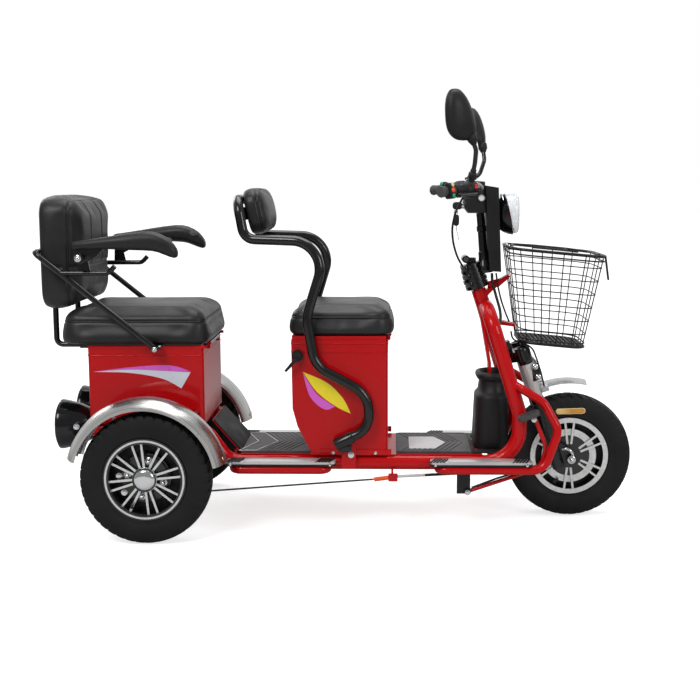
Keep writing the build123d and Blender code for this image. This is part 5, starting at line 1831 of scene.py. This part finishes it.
# the side view of an armrest along X: its top, its underside and its width
ARMREST = (
    (-720.5, 817, 803, 34), (-719, 820, 800, 40), (-714, 821.5, 799, 43), (-680, 826, 799.5, 45),
    (-640, 832, 800, 47), (-600, 838.5, 799, 49), (-562, 844, 797, 51), (-528, 847.5, 796, 51),
    (-505, 847, 794.5, 50), (-488, 843, 791, 49), (-470, 835, 784, 47), (-455, 824.5, 778, 44),
    (-444, 812, 775.5, 40), (-438, 802, 777, 34), (-435.5, 795, 781, 24),
)
ARM_BRACKET = [
    (-716, 803), (-717, 774), (-712, 763), (-703, 759), (-692, 762),
    (-668, 774), (-650, 786), (-636, 803),
]


class SCOOTER_OT_armrests(bpy.types.Operator):
    """Padded armrests with their brackets, pivots and buttons"""

    bl_idname = "scooter.armrests"
    bl_label = "Armrests"

    def execute(self, context):
        pivot_tube = [(5.2, 0), (12, 0), (13, 1), (13, 39), (12, 40), (5.2, 40), (5.2, 0)]
        for name, side in SIDES.items():
            body = f"armrest_{name}"
            low, high = box_of(body)
            y = (low.y + high.y) / 2
            layers = []
            for x, top, under, width in ARMREST:
                tall = top - under
                radius = min(tall * 0.48, width * 0.42)
                layers.append((x, width, tall, radius, y, (top + under) / 2))
            bm = form((layered, ALONG_X, layers, 7))
            pad = piece_of(bm, f"armrest_{name}_pad", "soft_black", body, 60)
            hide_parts(f"armrest_{name}")
            pivot = (-703.5, y - side * 20, 776)
            bm = form(
                (side_plate, y - 3, ARM_BRACKET, 6, 1.2),
                (turned, standing(pivot, (0, side, 0)), pivot_tube, 28),
            )
            piece_of(bm, f"armrest_{name}_bracket", "black_enamel", body)
            face = local_frame((-467, y - side * 21.5, 822), (-side, 0, 0), (0, -side, 0.1))
            bm = form((plate, face, oval(14, 8, 24), 4.2, 1.6))
            piece_of(bm, f"armrest_{name}_button", "grey_case", body)
            cap = standing((-703.5, y + side * 22, 776), (0, side, 0))
            copies(dome_nut(8, 9), [cap], f"armrest_{name}_nut", "chrome", "rear_seat", 50)
        return {"FINISHED"}


# a tail lamp's case: depth, size and radius
LAMP_CASE = (
    (-97, 74, 30), (-95, 82, 36), (-84, 96, 44), (-60, 118, 56), (-30, 134, 64), (-12, 141, 68),
    (-6, 143, 69), (-3, 141, 68), (-3, 128, 60),
)
LAMP_LENS = ((-6, 128, 60), (-1, 128, 60), (2, 122, 58), (3.6, 100, 48))


class SCOOTER_OT_rear(bpy.types.Operator):
    """Tail lamps, fender beads, and the bolts of the fender stays and the rear frame"""

    bl_idname = "scooter.rear"
    bl_label = "Rear lamps and fenders"

    def execute(self, context):
        low, high = box_of("tail_lamps")
        middle = (low.z + high.z) / 2
        case, glass = (
            [(depth, size, size, radius, 0, 0) for depth, size, radius in rows]
            for rows in (LAMP_CASE, LAMP_LENS)
        )
        for name, side in SIDES.items():
            back = local_frame((low.x + 4, side * 118, middle), (0, -1, 0), (-1, 0, 0))
            bm = form((layered, back, case, 9))
            lamp = piece_of(bm, f"tail_lamp_{name}_case", "glossy_black", smooth=50)
            if side < 0:
                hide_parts("tail_lamps")
            bm = form((layered, back, glass, 9))
            for ring in (22, 40):
                curve = [(ring - 3, 2.6), (ring - 1.5, 3.8), (ring + 1.5, 3.8), (ring + 3, 2.6)]
                turned(bm, back, [*curve, (ring - 3, 2.6)], 40)
            piece_of(bm, f"tail_lamp_{name}_lens", "red_lens", smooth=60)
        heads = [(high.x - 34, side * 189.6, middle + 6) for side in (-1, 1)]
        heads = [standing(head, (0, head[1], 0)) for head in heads]
        copies(bolt(13, 6), heads, "tail_lamp_bolts")

        # rolled bead round each fender's lip, and the brass-coloured stay bolts
        beads, heads = [], []
        first, last, steps = 13, 158, 24
        for side in (-1, 1):
            for y in (side * 357.6, side * 257.4):
                turns = [first + (last - first) * k / steps for k in range(steps + 1)]
                beads.append([on_circle(REAR_AXLE_X, y, AXLE_Z, 197, turn) for turn in turns])
            for x, z, direction in ((-316, 236, (1, 0, 0.2)), (-716, 240, (-1, 0, 0.1))):
                for shift in (-16, 16):
                    heads.append(standing((x, side * (REAR_WHEEL_Y + shift), z), direction))
        wires(beads, 3, "fender_beads", "brushed_stainless")
        copies(bolt(10, 6), heads, "fender_bolts", "zinc_yellow")
        heads = []
        for side in (-1, 1):
            heads.append(standing((-509.5, side * 226.4, 521), (0, side, 0)))
            heads.append(standing((-500, side * 200, 524.5), (0, 0, 1)))
        copies(dome_nut(6, 6), heads, "brace_bolts", "chrome", "rear_seat", 50)
        return {"FINISHED"}


STEPS = (
    SCOOTER_OT_stage,
    SCOOTER_OT_finishes,
    SCOOTER_OT_basket,
    SCOOTER_OT_wheels,
    SCOOTER_OT_boxes,
    SCOOTER_OT_floor,
    SCOOTER_OT_seats,
    SCOOTER_OT_mirrors,
    SCOOTER_OT_controls,
    SCOOTER_OT_stem,
    SCOOTER_OT_footwell,
    SCOOTER_OT_brake,
    SCOOTER_OT_armrests,
    SCOOTER_OT_rear,
)


class SCOOTER_PT_panel(bpy.types.Panel):
    """Lists the scooter's groups of pieces"""

    bl_label = "Scooter"
    bl_idname = "SCOOTER_PT_panel"
    bl_space_type = "VIEW_3D"
    bl_region_type = "UI"
    bl_category = "Scooter"

    def draw(self, context):
        for step in STEPS:
            self.layout.operator(step.bl_idname)


GROUPS = {
    "scooter_stage": ScooterStage,
    "scooter_colours": ScooterColours,
    "scooter_basket": ScooterBasket,
    "scooter_seats": ScooterSeats,
    "scooter_wheels": ScooterWheels,
}


def register():
    """Adds the property groups, the operators and the panel."""
    for name, group in GROUPS.items():
        bpy.utils.register_class(group)
        setattr(bpy.types.Scene, name, PointerProperty(type=group))
    for kind in (*STEPS, SCOOTER_PT_panel):
        bpy.utils.register_class(kind)


def unregister():
    """Takes them away again."""
    for kind in (*STEPS, SCOOTER_PT_panel):
        bpy.utils.unregister_class(kind)
    for name, group in GROUPS.items():
        delattr(bpy.types.Scene, name)
        bpy.utils.unregister_class(group)


def main():
    """Builds every piece in order."""
    register()
    for step in STEPS:
        area, operator = step.bl_idname.split(".")
        getattr(getattr(bpy.ops, area), operator)()


if __name__ == "__main__":
    main()
